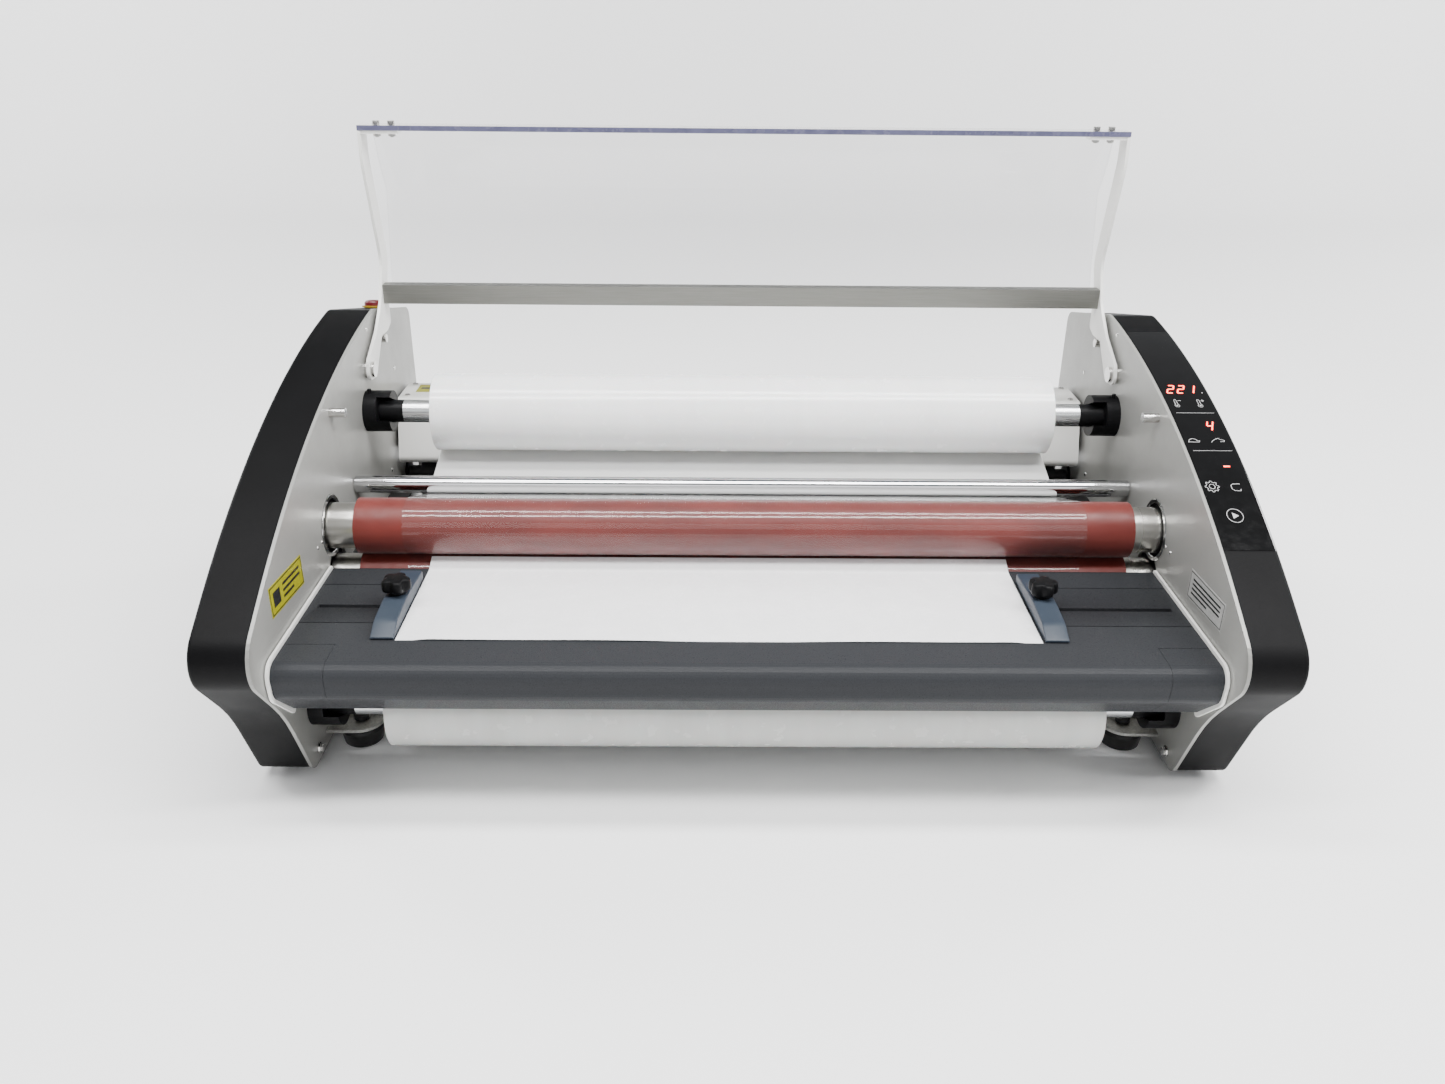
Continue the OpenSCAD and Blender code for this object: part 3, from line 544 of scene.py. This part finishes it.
def control_panel():
    """Glossy skin over the top of the right cover, wrapped round its outer edge."""
    low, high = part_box("control_panel")
    skin = 0.35 * MM
    x_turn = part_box("right_end_cover")[1].x - COVER_EDGE_R
    spine = [(low.x - 0.8 * MM, 0.0), ((low.x + x_turn) / 2, 0.0)]
    spine += [(x_turn + COVER_EDGE_R * math.sin(math.radians(a)),
               COVER_EDGE_R * (1 - math.cos(math.radians(a)))) for a in range(0, 73, 8)]
    rings = []
    rows = 60
    for k in range(rows + 1):
        y = low.y + (high.y - low.y) * k / rows
        ring = []
        for side in (1, -1):
            for x, sunk in (spine if side > 0 else spine[::-1]):
                inset = CASE_MARGIN + sunk - side * skin
                up = math.atan2(math.sqrt((CROWN_R - CASE_MARGIN) ** 2 - (y - CROWN.x) ** 2), y - CROWN.x)
                ring.append(Vector((x, CROWN.x + (CROWN_R - inset) * math.cos(up),
                                    CROWN.y + (CROWN_R - inset) * math.sin(up))))
        rings.append(ring)
    verts, faces = loft(rings)
    return piece("panel_skin", verts, faces, "panel", "frame", ("control_panel",), 40)


control_panel()

# Level of the print's middle, measured out from the case outline, and half its thickness
PRINT_LIFT = -0.38 * MM
PRINT_HALF = 0.12 * MM


def flat_patch(points, half=PRINT_HALF):
    """A thin printed patch on the panel from its outline in (x, y)."""
    top = [on_crown(x, y, PRINT_LIFT + half) for x, y in points]
    bottom = [on_crown(x, y, PRINT_LIFT - half) for x, y in points]
    return loft([bottom, top])


def bar_corners(start, end, width, overrun, ratio=1.0):
    """Corners of a bar between two points, longer at each end by `overrun` of its width.

    `ratio` is how much longer the drawing's first unit is than its second.
    """
    along = Vector(((end[0] - start[0]) * ratio, end[1] - start[1])).normalized()
    across = Vector((-along.y / ratio, along.x)) * width / 2
    extra = Vector((along.x / ratio, along.y)) * width * overrun
    near = Vector(start) - extra
    far = Vector(end) + extra
    return [tuple(near + across), tuple(near - across), tuple(far - across), tuple(far + across)]


def sides_of(points, closed):
    """Pairs of neighbouring points."""
    return list(zip(points, points[1:])) + ([(points[-1], points[0])] if closed else [])


def stroke(points, width, closed=False, half=PRINT_HALF):
    """Printed line through points on the panel, as short thin bars."""
    return joined([flat_patch(bar_corners(p, q, width, 0.25), half) for p, q in sides_of(points, closed)])


def ring_points(x, y, r, count, from_deg=0, to_deg=360):
    angles = [math.radians(from_deg + (to_deg - from_deg) * i / count) for i in range(count + 1)]
    return [(x + r * math.cos(a), y + r * math.sin(a)) for a in angles]


def symbol_at(points, x, y):
    """A symbol drawn in millimetres, moved to its place on the panel."""
    return [(x + px * MM, y + py * MM) for px, py in points]


LINE = 0.45 * MM
# Columns and rows of the panel's touch keys
KEY_LEFT, KEY_RIGHT, KEY_MIDDLE = 0.4027, 0.4244, 0.4132
HEAT_KEYS_Y, SPEED_KEYS_Y, MODE_KEYS_Y, START_KEY_Y = -0.0330, -0.0855, -0.1405, -0.1710
DIVIDERS_Y = (-0.0475, -0.0985)
# Symbol outlines in millimetres
THERMOMETER = [(-1.1, -2), (-1.1, 4.5), (-0.6, 5.4), (0.6, 5.4), (1.1, 4.5), (1.1, -2)]
SLOW = [(-5, -2), (-3.4, 1.2), (-0.5, 2.6), (2.4, 1.4), (3.6, -0.8), (5.4, -0.4), (4.8, -2.2), (-5, -2)]
FAST = [(-6, -2.2), (-4.4, -0.2), (-1.8, 1.6), (1.6, 3.0), (2.4, 1.6), (6.4, 0.2), (5.6, -1.4),
        (2.0, -1.6)]
RETURN = [(4, 4), (-2, 4), (-4, 2.4), (-4, -1.6), (-2, -3.4), (3.4, -3.4), (3.4, -1.8)]


def gear_outline(x, y, r, teeth=8):
    points = []
    for i in range(teeth):
        for turn, reach in ((-0.28, 0.78), (-0.16, 1.0), (0.16, 1.0), (0.28, 0.78)):
            a = 2 * math.pi * (i + turn) / teeth
            points.append((x + r * reach * math.cos(a), y + r * reach * math.sin(a)))
    return points


def panel_print():
    parts = []
    y = HEAT_KEYS_Y
    for x in (KEY_LEFT, KEY_RIGHT):
        parts.append(stroke(symbol_at(THERMOMETER, x, y), LINE))
        parts.append(stroke(ring_points(x, y - 3.6 * MM, 2.1 * MM, 20, 125, 415), LINE))
        parts.append(flat_patch(ring_points(x, y - 3.6 * MM, 0.9 * MM, 12)[:-1]))
        parts.append(stroke([(x + 2.6 * MM, y + 4 * MM), (x + 5.4 * MM, y + 4 * MM)], LINE))
    plus_x = KEY_RIGHT + 4 * MM
    parts.append(stroke([(plus_x, y + 2.6 * MM), (plus_x, y + 5.4 * MM)], LINE))
    for y in DIVIDERS_Y:
        parts.append(stroke([(0.3985, y), (0.4335, y)], 0.3 * MM))
    parts.append(stroke(symbol_at(SLOW, KEY_LEFT, SPEED_KEYS_Y), LINE))
    parts.append(stroke(symbol_at(FAST, KEY_RIGHT, SPEED_KEYS_Y), LINE))
    parts.append(stroke(gear_outline(KEY_LEFT, MODE_KEYS_Y, 6 * MM), LINE, True))
    parts.append(stroke(ring_points(KEY_LEFT, MODE_KEYS_Y, 2.5 * MM, 18), LINE))
    parts.append(stroke(symbol_at(RETURN, KEY_RIGHT - 1 * MM, MODE_KEYS_Y - 1 * MM), LINE))
    parts.append(stroke(ring_points(KEY_MIDDLE, START_KEY_Y, 6.8 * MM, 36), LINE))
    parts.append(flat_patch(symbol_at([(-2, -3), (3.4, 0), (-2, 3)], KEY_MIDDLE, START_KEY_Y)))
    parts.append(flat_patch(ring_points(0.4322, -0.0165, 0.6 * MM, 10)[:-1]))
    return joined(parts)


verts, faces = panel_print()
piece("panel_symbols", verts, faces, "white_ink", "frame")

SEGMENTS = {
    "a": (0, 1, 1, 1), "b": (1, 1, 1, 0.5), "c": (1, 0.5, 1, 0), "d": (0, 0, 1, 0),
    "e": (0, 0.5, 0, 0), "f": (0, 1, 0, 0.5), "g": (0, 0.5, 1, 0.5),
}
# How far a digit leans over its height, and the share of a segment left free at each end
LEAN = 0.36
SEGMENT_GAP = 0.09
DIGITS = {"2": "abged", "1": "bc", "4": "fgbc", "-": "g"}


def digit(symbol, x, y, width, height, line, half):
    """A seven-segment digit whose lower left corner is at (x, y); line is its share of the width."""
    parts = []
    for name in DIGITS[symbol]:
        x0, y0, x1, y1 = SEGMENTS[name]
        ends = []
        for share in (SEGMENT_GAP, 1 - SEGMENT_GAP):
            u, v = x0 + (x1 - x0) * share, y0 + (y1 - y0) * share
            ends.append((x + u * width + v * height * LEAN, y + v * height))
        parts.append(stroke(ends, width * line, half=half))
    return joined(parts)


def readings(line, half):
    """The three lit displays: temperature, speed and mode."""
    parts = [digit(symbol, 0.3990 + i * 0.0098, -0.0170, 5.3 * MM, 12.2 * MM, line, half)
             for i, symbol in enumerate("221")]
    parts.append(digit("4", 0.4188, -0.0720, 5.0 * MM, 12.0 * MM, line, half))
    parts.append(digit("-", 0.4174, -0.1235, 6 * MM, 12 * MM, line, half))
    return joined(parts)


verts, faces = readings(0.32, PRINT_HALF)
piece("lit_digits", verts, faces, "digits", "frame")
verts, faces = readings(0.09, PRINT_HALF * 1.5)
piece("lit_digit_cores", verts, faces, "digit_cores", "frame")


# ---- Film rolls, film webs and the sheet ----

def film_roll(name, node, body, material):
    """Wound film with its core's ends set in and slight steps between the layers at each end."""
    middle, half = centre(node), half_size(node)
    axis = (middle.y, middle.z)
    r, w, bore = half.z, half.x, 11.85 * MM
    core_r, edge_r, rings = bore + 3 * MM, r - 1.2 * MM, 9
    profile = []
    for side in (-1, 1):
        ends = [(w, bore), (w - 1.2 * MM, bore + 0.2 * MM), (w - 1.2 * MM, bore + 2.4 * MM),
                (w - 0.1 * MM, core_r)]
        for k in range(rings):
            reach = core_r + (edge_r - core_r) * (k + 1) / rings
            ends.append((w - (0.35 * MM if k % 2 else 0.0), reach))
        ends += [(w - 0.15 * MM, r - 0.6 * MM), (w - 0.5 * MM, r - 0.15 * MM), (w - 1.2 * MM, r)]
        ends = [(side * x, radius) for x, radius in ends]
        profile += ends if side < 0 else ends[::-1]
    verts, faces = turned_shape(axis, profile, 128)
    return piece(name, verts, faces, material, body, (node,), 40)


film_roll("upper_film", "upper_film_roll", "upper_supply", "film_roll")
# The lower roll takes the darker film copy: painted shade under the table.
film_roll("lower_film", "lower_film_roll", "lower_supply", "film_roll_low")


def touch_angle(c1, s1, c2, s2):
    """Direction of the line that touches two circles; a radius is positive where it passes on the left."""
    d = c2 - c1
    return math.atan2(d.y, d.x) + math.asin((s2 - s1) / d.length)


def left_of(angle):
    return Vector((-math.sin(angle), math.cos(angle)))


def arc(middle, r, start, end, steps):
    return [middle + r * Vector((math.cos(start + (end - start) * i / steps),
                                 math.sin(start + (end - start) * i / steps))) for i in range(steps + 1)]


def yz(node):
    middle = centre(node)
    return Vector((middle.y, middle.z))


FILM_T = 0.12 * MM
FILM_GAP = 0.3 * MM


def web_piece(name, node, path):
    """Film that follows path(lift), where lift runs through the film's thickness.

    It is hazy and grey behind the top of the upper roller and clear in front of it: partly the film's own
    haze, partly a painted sheen for its reflection at grazing angles.
    """
    bar = yz("idler_bar")
    # Polygons past these levels get the hazy copy, which is partly painted sheen.
    painted_sheen_from_y, painted_sheen_from_z = bar.x - 78 * MM, bar.y - 20 * MM

    def milky_painted_sheen(polygon):
        return int(polygon.center.y > painted_sheen_from_y and polygon.center.z > painted_sheen_from_z)

    half_w = half_size(node).x
    outline = path(0.0) + path(FILM_T)[::-1]
    bays = 24
    stations = [half_w * (2 * k / bays - 1) for k in range(bays + 1)]
    verts, faces = loft([at_x([(p.x, p.y) for p in outline], x) for x in stations])
    return piece(name, verts, faces, ["film", "film_milky_painted_sheen"], "frame", (node,), 30, milky_painted_sheen)


def upper_path(lift):
    roll, bar, roller = yz("upper_film_roll"), yz("idler_bar"), yz("upper_roller_sleeve")
    roll_r = half_size("upper_film_roll").z + FILM_GAP + lift
    under_r = half_size("idler_bar").z + FILM_GAP + lift
    over_r = half_size("upper_roller_sleeve").z + FILM_GAP + FILM_T - lift
    off = touch_angle(roll, roll_r, bar, under_r)
    across = touch_angle(bar, under_r, roller, -over_r)
    full = 2 * math.pi
    return ([roll + left_of(off) * roll_r]
            + arc(bar, under_r, (off + math.pi / 2) % full, (across + math.pi / 2) % full, 16)
            + arc(roller, over_r, (across - math.pi / 2) % full, math.radians(257), 60))


def lower_path(lift):
    roll, roller = yz("lower_film_roll"), yz("lower_roller_sleeve")
    roll_r = half_size("lower_film_roll").z + FILM_GAP
    over_r = half_size("lower_roller_sleeve").z + FILM_GAP
    up = touch_angle(roll, -roll_r, roller, over_r)
    return ([roll - left_of(up) * (roll_r - lift)]
            + arc(roller, over_r + lift, up + math.pi / 2, math.radians(103), 16))


web_piece("upper_web", "upper_film_web", upper_path)
web_piece("lower_web", "lower_film_web", lower_path)


def loaded_sheet():
    """Coated sheet on the table, its front edge lifting in slow waves, its rear edge in the nip.

    The waves fade out from 26 to 14 mm from its side edges, so that the guides can close up to it.
    """
    low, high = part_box("loaded_sheet")
    flat_share = 0.897
    knee_y = low.y + (high.y - low.y) * flat_share
    columns, rows = 72, 40
    thickness, gap = 0.25 * MM, 0.1 * MM
    fade, front_reach, wave_height = 12 * MM, 22 * MM, 0.8 * MM
    top = []
    for j in range(rows + 1):
        v = j / rows
        y = low.y + (high.y - low.y) * v
        lift = 0.0
        if y > knee_y:
            lift = (y - knee_y) / (high.y - knee_y) * (high.z - thickness - low.z)
        row = []
        for i in range(columns + 1):
            u = i / columns
            x = low.x + (high.x - low.x) * u
            front = math.exp(-((y - low.y) / front_reach) ** 2)
            wave = 0.9 + 0.8 * math.sin(7.3 * u + 0.6) + 0.5 * math.sin(17.1 * u + 2.0)
            middle = 0.25 * MM * math.exp(-((v - 0.45) / 0.25) ** 2) * (1 + math.sin(9 * u + 3 * v))
            inside = min(1.0, max(0.0, min(x - low.x, high.x - x) / fade - 1.2))
            ripple = inside * (front * max(0, wave) * wave_height + middle)
            row.append((x, y, low.z + gap + lift + ripple))
        top.append(row)
    n = columns + 1
    verts = [p for row in top for p in row]
    verts += [(x, y, z - thickness) for x, y, z in verts]
    under = n * (rows + 1)
    faces = []
    for j in range(rows):
        for i in range(columns):
            a = j * n + i
            faces.append((a, a + 1, a + n + 1, a + n))
            faces.append((under + a, under + a + n, under + a + n + 1, under + a + 1))
    rim = (list(range(n)) + [j * n + n - 1 for j in range(1, rows + 1)]
           + [rows * n + i for i in range(n - 2, -1, -1)] + [j * n for j in range(rows - 1, 0, -1)])
    for a, b in zip(rim, rim[1:] + rim[:1]):
        faces.append((a, b, under + b, under + a))
    return piece("coated_sheet", verts, faces, "paper", "frame", ("loaded_sheet",), 40)


loaded_sheet()


# ---- Shield panel ----

def shield_panel():
    """Clear shield: a level top strip, and a narrower sheet that bends and hangs down behind it."""
    low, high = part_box("shield_panel")
    t = 5 * MM
    top = high.z
    edge = half_size("shield_panel").x
    hang = edge - 9 * MM
    spine = [(low.y, top - t), (0.176, top - t), (0.181, top - 8 * MM), (0.189, 0.490), (0.2055, 0.4625),
             (0.2075, 0.458), (0.2070, 0.452), (0.2030, 0.430), (0.189, 0.350)]
    outer = [(p[0] + t * 0.98, p[1] + t * 0.25) for p in spine[2:]]
    outer = [(0.181, top - 0.6 * MM), (0.178, top)] + outer[1:]
    outline = spine[1:] + outer[::-1]
    sheet = loft([at_x(outline, x) for x in (-hang, hang)])
    strip = loft([at_x([(low.y, top - t), (0.177, top - t), (0.177, top), (low.y, top)], x)
                  for x in (-edge, edge)])
    verts, faces = joined([sheet, strip])

    def front_edge(polygon):
        return int(abs(polygon.normal.y) > 0.9 and polygon.center.y < low.y + 2 * MM)

    return piece("clear_shield", verts, faces, ["shield", "shield_edge"], "shield",
                 ("shield_panel",), 25, front_edge)


shield_panel()


# ---- Side guides and knobs ----

def side_guide(name, node, body, inner_side):
    """Arched guide bar with broken edges; inner_side is +1 where its inner face looks to +X."""
    low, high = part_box(node)
    rail = [(high.y, low.z, 0.0003), (high.y, low.z + 9 * MM, 0.0015), (-0.168, low.z + 13 * MM, 0.200),
            (-0.206, low.z + 9.6 * MM, 0.025), (low.y, low.z + 2 * MM, 0.0015), (low.y, low.z, 0.0003)]
    outline = rounded(rail, step=0.004)
    x_inner, x_outer = (high.x, low.x) if inner_side > 0 else (low.x, high.x)

    def section(x, drop):
        return [Vector((x, y, max(low.z, z - drop) if z > low.z + 1.5 * MM else z)) for y, z in outline]

    outer_edge = ((0.0, 0.9), (0.3, 0.3), (0.9, 0.0))
    inner_edge = ((1.2, 0.0), (0.4, 0.4), (0.0, 1.2))
    rings = [section(x_outer + inner_side * inward * MM, drop * MM) for inward, drop in outer_edge]
    rings += [section(x_inner - inner_side * inward * MM, drop * MM) for inward, drop in inner_edge]
    verts, faces = loft(rings)
    return piece(name, verts, faces, "guide", body, (node,), 25)


KNOB_Y = -163.4 * MM


def star_knob(name, node, body, x):
    """Five-lobed clamping knob with its collar, stud and hexagon nut."""
    low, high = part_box(node)
    lobes = 5
    collar_z = high.z - 15 * MM

    def ring(z, count, reach):
        """Points round the stud at a height, each reach(angle) away from its axis."""
        angles = [2 * math.pi * i / count for i in range(count)]
        return [Vector((x + reach(a) * math.cos(a), KNOB_Y + reach(a) * math.sin(a), z)) for a in angles]

    def lobed(r, z, depth):
        return ring(z, 120, lambda a: r * (1 - depth * (0.5 + 0.5 * math.cos(lobes * a + math.pi)) ** 1.6))

    def disc(r, z, count=40):
        return ring(z, count, lambda a: r)

    profile = ((11.8, 11, 0.20), (12.8, 10, 0.24), (13.0, 8, 0.26), (12.8, 3, 0.26), (12.0, 1.2, 0.25),
               (10.6, 0.3, 0.22), (8.4, 0, 0.15))
    head = loft([lobed(r * MM, high.z - down * MM, depth) for r, down, depth in profile])
    collar = loft([disc(7 * MM, collar_z), disc(7 * MM, collar_z + 3 * MM),
                   disc(8.4 * MM, collar_z + 4.2 * MM)])
    stud = loft([disc(2.5 * MM, low.z), disc(2.5 * MM, collar_z + 1 * MM)])
    nut = loft([disc(6 * MM, low.z + 1 * MM, 6), disc(6 * MM, low.z + 5.5 * MM, 6)])
    verts, faces = joined([head, collar, stud, nut])
    return piece(name, verts, faces, "cup", body, (node,), 40)


side_guide("left_guide_bar", "left_guide", "left_guide_slide", 1)
side_guide("right_guide_bar", "right_guide", "right_guide_slide", -1)
star_knob("left_star_knob", "left_guide_knob", "left_clamp", -307 * MM)
star_knob("right_star_knob", "right_guide_knob", "right_clamp", 261 * MM)


# ---- Labels on the side plates ----

def label_frame(corners, x, side):
    """Maps (u, v) on a label to a point; u runs to the viewer's right, v up, lift off the plate."""
    a, b, c, d = [Vector(p) for p in corners]

    def place(u, v, lift):
        p = (a * (1 - u) + b * u) * (1 - v) + (d * (1 - u) + c * u) * v
        return Vector((x + side * lift, p.x, p.y))
    return place


# Levels off the plate: the label's own sheet, and the print on it
SHEET_LEVELS = (0.02 * MM, 0.40 * MM)
MARK_LEVELS = (0.36 * MM, 0.46 * MM)
# A label's width over its height, and its outline and border in parts of its width and height
LABEL_RATIO = 2.9
LABEL_SHEET = [(0, 0), (1, 0), (1, 1), (0, 1)]
LABEL_BORDER = [(0.02, 0.06), (0.98, 0.06), (0.98, 0.94), (0.02, 0.94)]


def label_patch(place, points, levels):
    return loft([[place(u, v, level) for u, v in points] for level in levels])


def plate_label(name, corners, x, side, material, border, bars, hides=()):
    """A label with a border and plain bars, each bar given as (left, right, middle height, thickness)."""
    place = label_frame(corners, x, side)
    verts, faces = label_patch(place, LABEL_SHEET, SHEET_LEVELS)
    piece(name, verts, faces, material, "frame", hides)
    outlines = [bar_corners(p, q, border, 1 / 3, LABEL_RATIO) for p, q in sides_of(LABEL_BORDER, True)]
    outlines += [[(u0, v - t / 2), (u1, v - t / 2), (u1, v + t / 2), (u0, v + t / 2)]
                 for u0, u1, v, t in bars]
    verts, faces = joined([label_patch(place, outline, MARK_LEVELS) for outline in outlines])
    piece(name + "_marks", verts, faces, "ink", "frame")


def plate_labels():
    low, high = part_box("plate_labels")
    plate_label("left_label",
                [(-0.2345, 0.1833), (-0.1565, 0.1766), (-0.1565, 0.2040), (-0.2345, 0.2105)],
                low.x, 1, "label_yellow", 0.04,
                [(0.09, 0.29, 0.50, 0.50), (0.38, 0.90, 0.71, 0.09), (0.38, 0.90, 0.50, 0.09),
                 (0.38, 0.70, 0.29, 0.09)], ("plate_labels",))
    plate_label("right_label",
                [(-0.162, 0.171), (-0.236, 0.176), (-0.236, 0.2015), (-0.162, 0.198)],
                high.x, -1, "label_grey", 0.03,
                [(0.10, 0.90, 0.74, 0.07), (0.10, 0.90, 0.58, 0.07), (0.10, 0.90, 0.42, 0.07),
                 (0.10, 0.56, 0.26, 0.07)])


plate_labels()


# ---- Screws, rivets and bearing rings on the side plates ----

def domed_head(x, at, r, height, side):
    """Domed head on a plate at x, standing out towards `side`."""
    sides = 24
    rings = [at_x(circle(at, r, sides), x)]
    for k in range(1, 6):
        a = math.radians(15 * k)
        rings.append(at_x(circle(at, r * math.cos(a), sides), x + side * height * math.sin(a)))
    return loft(rings)


def hex_head(x, at, r, height, side, turn):
    """Hexagon head with a turned washer face."""
    washer = loft([at_x(circle(at, r * 1.25, 32), x + side * share * height) for share in (0, 0.25)])
    head = loft([at_x(circle(at, r * size, 6, turn), x + side * share * height)
                 for size, share in ((1, 0.25), (1, 0.92), (0.86, 1))])
    return joined([washer, head])


SMALL_SCREWS = [(-0.0985, 0.1885), (-0.1110, 0.1885), (-0.0985, 0.1400), (-0.1110, 0.1400)]
RIVETS = [(0.172, 0.3072), (0.118, 0.3296), (0.205, 0.262), (-0.176, 0.112), (0.030, 0.170),
          (0.150, 0.160), (-0.020, 0.150)]
# Each bolt's place and the turn of its head
BOLTS = [((-0.184, 0.0205), 0.3), ((0.246, 0.0205), 0.7)]
# Section of the ring round each roller opening, as (x, radius)
BEARING_RING = [(0.3912, 0.0252), (0.3900, 0.0252), (0.3893, 0.0258), (0.3893, 0.0291),
                (0.3898, 0.0296), (0.3912, 0.0296)]


def plate_fasteners():
    parts = []
    for side in (1, -1):
        face = side * plate_low.x
        parts += [domed_head(face, at, 1.7 * MM, 1.1 * MM, -side) for at in SMALL_SCREWS]
        parts += [domed_head(face, at, 2.4 * MM, 0.9 * MM, -side) for at in RIVETS]
        parts += [hex_head(face, at, 4.2 * MM, 4.5 * MM, -side, turn) for at, turn in BOLTS]
    verts, faces = joined(parts)
    piece("plate_fasteners", verts, faces, "bright", "frame")


def bearing_rings():
    axis = yz("upper_roller_sleeve")
    rings = [turned_shape(axis, [(side * x, r) for x, r in BEARING_RING]) for side in (1, -1)]
    verts, faces = joined(rings)
    piece("bearing_rings", verts, faces, "chrome_ring", "frame")


plate_fasteners()
bearing_rings()


def upright_head(x, y, z, r, height):
    """Round screw head with a broken edge, standing on a level face at z."""
    sides, start = 20, 0.4
    return loft([[Vector((px, py, z + share * height)) for px, py in circle((x, y), r * size, sides, start)]
                 for size, share in ((1, 0), (1, 0.8), (0.82, 1))])


def level_patch(corners, bottom, top):
    return loft([[Vector((x, y, z)) for x, y in corners] for z in (bottom, top)])


def housing_details():
    """Screws and a plain label on the top of the rear housing."""
    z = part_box("rear_housing")[1].z
    screws = [upright_head(side * x, y, z, 3.2 * MM, 1.8 * MM) for side in (1, -1)
              for x, y in ((0.377, 0.240), (0.377, 0.200), (0.2, 0.240), (0.0, 0.240))]
    verts, faces = joined(screws)
    piece("housing_screws", verts, faces, "bright", "frame")
    corners = [(-0.371, 0.213), (-0.345, 0.213), (-0.345, 0.239), (-0.371, 0.239)]
    verts, faces = level_patch(corners, z, z + 0.3 * MM)
    piece("housing_label", verts, faces, "label_yellow", "frame")
    mark = [(-0.367, 0.223), (-0.349, 0.223), (-0.349, 0.229), (-0.367, 0.229)]
    verts, faces = level_patch(mark, z + 0.28 * MM, z + 0.4 * MM)
    piece("housing_label_mark", verts, faces, "ink", "frame")


housing_details()


# ---- Camera, stage and lights ----

def camera():
    data = bpy.data.cameras.new("camera")
    data.sensor_width = 36
    data.lens = 29.34
    made = bpy.data.objects.new("camera", data)
    bpy.context.scene.collection.objects.link(made)
    pan, down, roll = math.radians(-0.553), math.radians(25.416), math.radians(0.558)
    turn = (Matrix.Rotation(pan, 4, "Z") @ Matrix.Rotation(math.pi / 2 - down, 4, "X")
            @ Matrix.Rotation(roll, 4, "Z"))
    place = (-0.0304, -1.0808, 0.6577)
    made.matrix_world = Matrix.Translation(place) @ turn
    bpy.context.scene.camera = made


def stage():
    """Pale floor that curves up into a backdrop."""
    p = Paint("floor_pale", Roughness=0.75, Specular_IOR_Level=0.2)
    p.colour(p.ramp(p.noise(0.6), (0.94, 0.94, 0.94), (0.95, 0.95, 0.95)))
    MATERIALS["floor"] = p.material
    reach, back, rise, r = 6.0, 3.4, 1.1, 0.8
    profile = [(-reach, 0.0), (back - r, 0.0)]
    profile += [(back - r + r * math.sin(math.radians(a)), r - r * math.cos(math.radians(a)))
                for a in range(5, 91, 5)]
    profile.append((back, rise))
    verts, faces = [], []
    for y, z in profile:
        verts += [(-reach, y, z), (reach, y, z)]
    for k in range(len(profile) - 1):
        faces.append((2 * k, 2 * k + 1, 2 * k + 3, 2 * k + 2))
    mesh = bpy.data.meshes.new("floor")
    mesh.from_pydata(verts, [], faces)
    mesh.materials.append(MATERIALS["floor"])
    mesh.shade_smooth()
    made = bpy.data.objects.new("floor", mesh)
    bpy.context.scene.collection.objects.link(made)


def area_light(name, place, target, size, power):
    data = bpy.data.lights.new(name, "AREA")
    data.shape = "RECTANGLE"
    data.size, data.size_y = size
    data.energy = power
    made = bpy.data.objects.new(name, data)
    bpy.context.scene.collection.objects.link(made)
    made.location = place
    made.rotation_euler = (Vector(target) - Vector(place)).to_track_quat("-Z", "Y").to_euler()


def world_light():
    world = bpy.data.worlds.new("studio")
    world.use_nodes = True
    background = world.node_tree.nodes["Background"]
    background.inputs["Color"].default_value = (0.95, 0.97, 1.0, 1)
    background.inputs["Strength"].default_value = 0.32
    bpy.context.scene.world = world


camera()
stage()
world_light()
area_light("strip_front", (0.1, -0.9, 2.3), (0, -0.1, 0.1), (3.6, 0.25), 98)
area_light("strip_top", (0.0, -0.25, 2.6), (0, 0.0, 0.1), (3.6, 0.3), 98)
area_light("front_fill", (0.2, -2.8, 1.7), (0, -0.1, 0.15), (3.0, 1.2), 18)
area_light("right_side", (2.2, -0.9, 1.6), (0, -0.05, 0.15), (0.8, 0.8), 45)
area_light("back_left", (-3.1, 1.3, 1.7), (-0.5, 3.1, 0.3), (1.2, 0.9), 100)
area_light("back_right", (3.1, 1.3, 1.7), (0.5, 3.1, 0.3), (1.2, 0.9), 100)
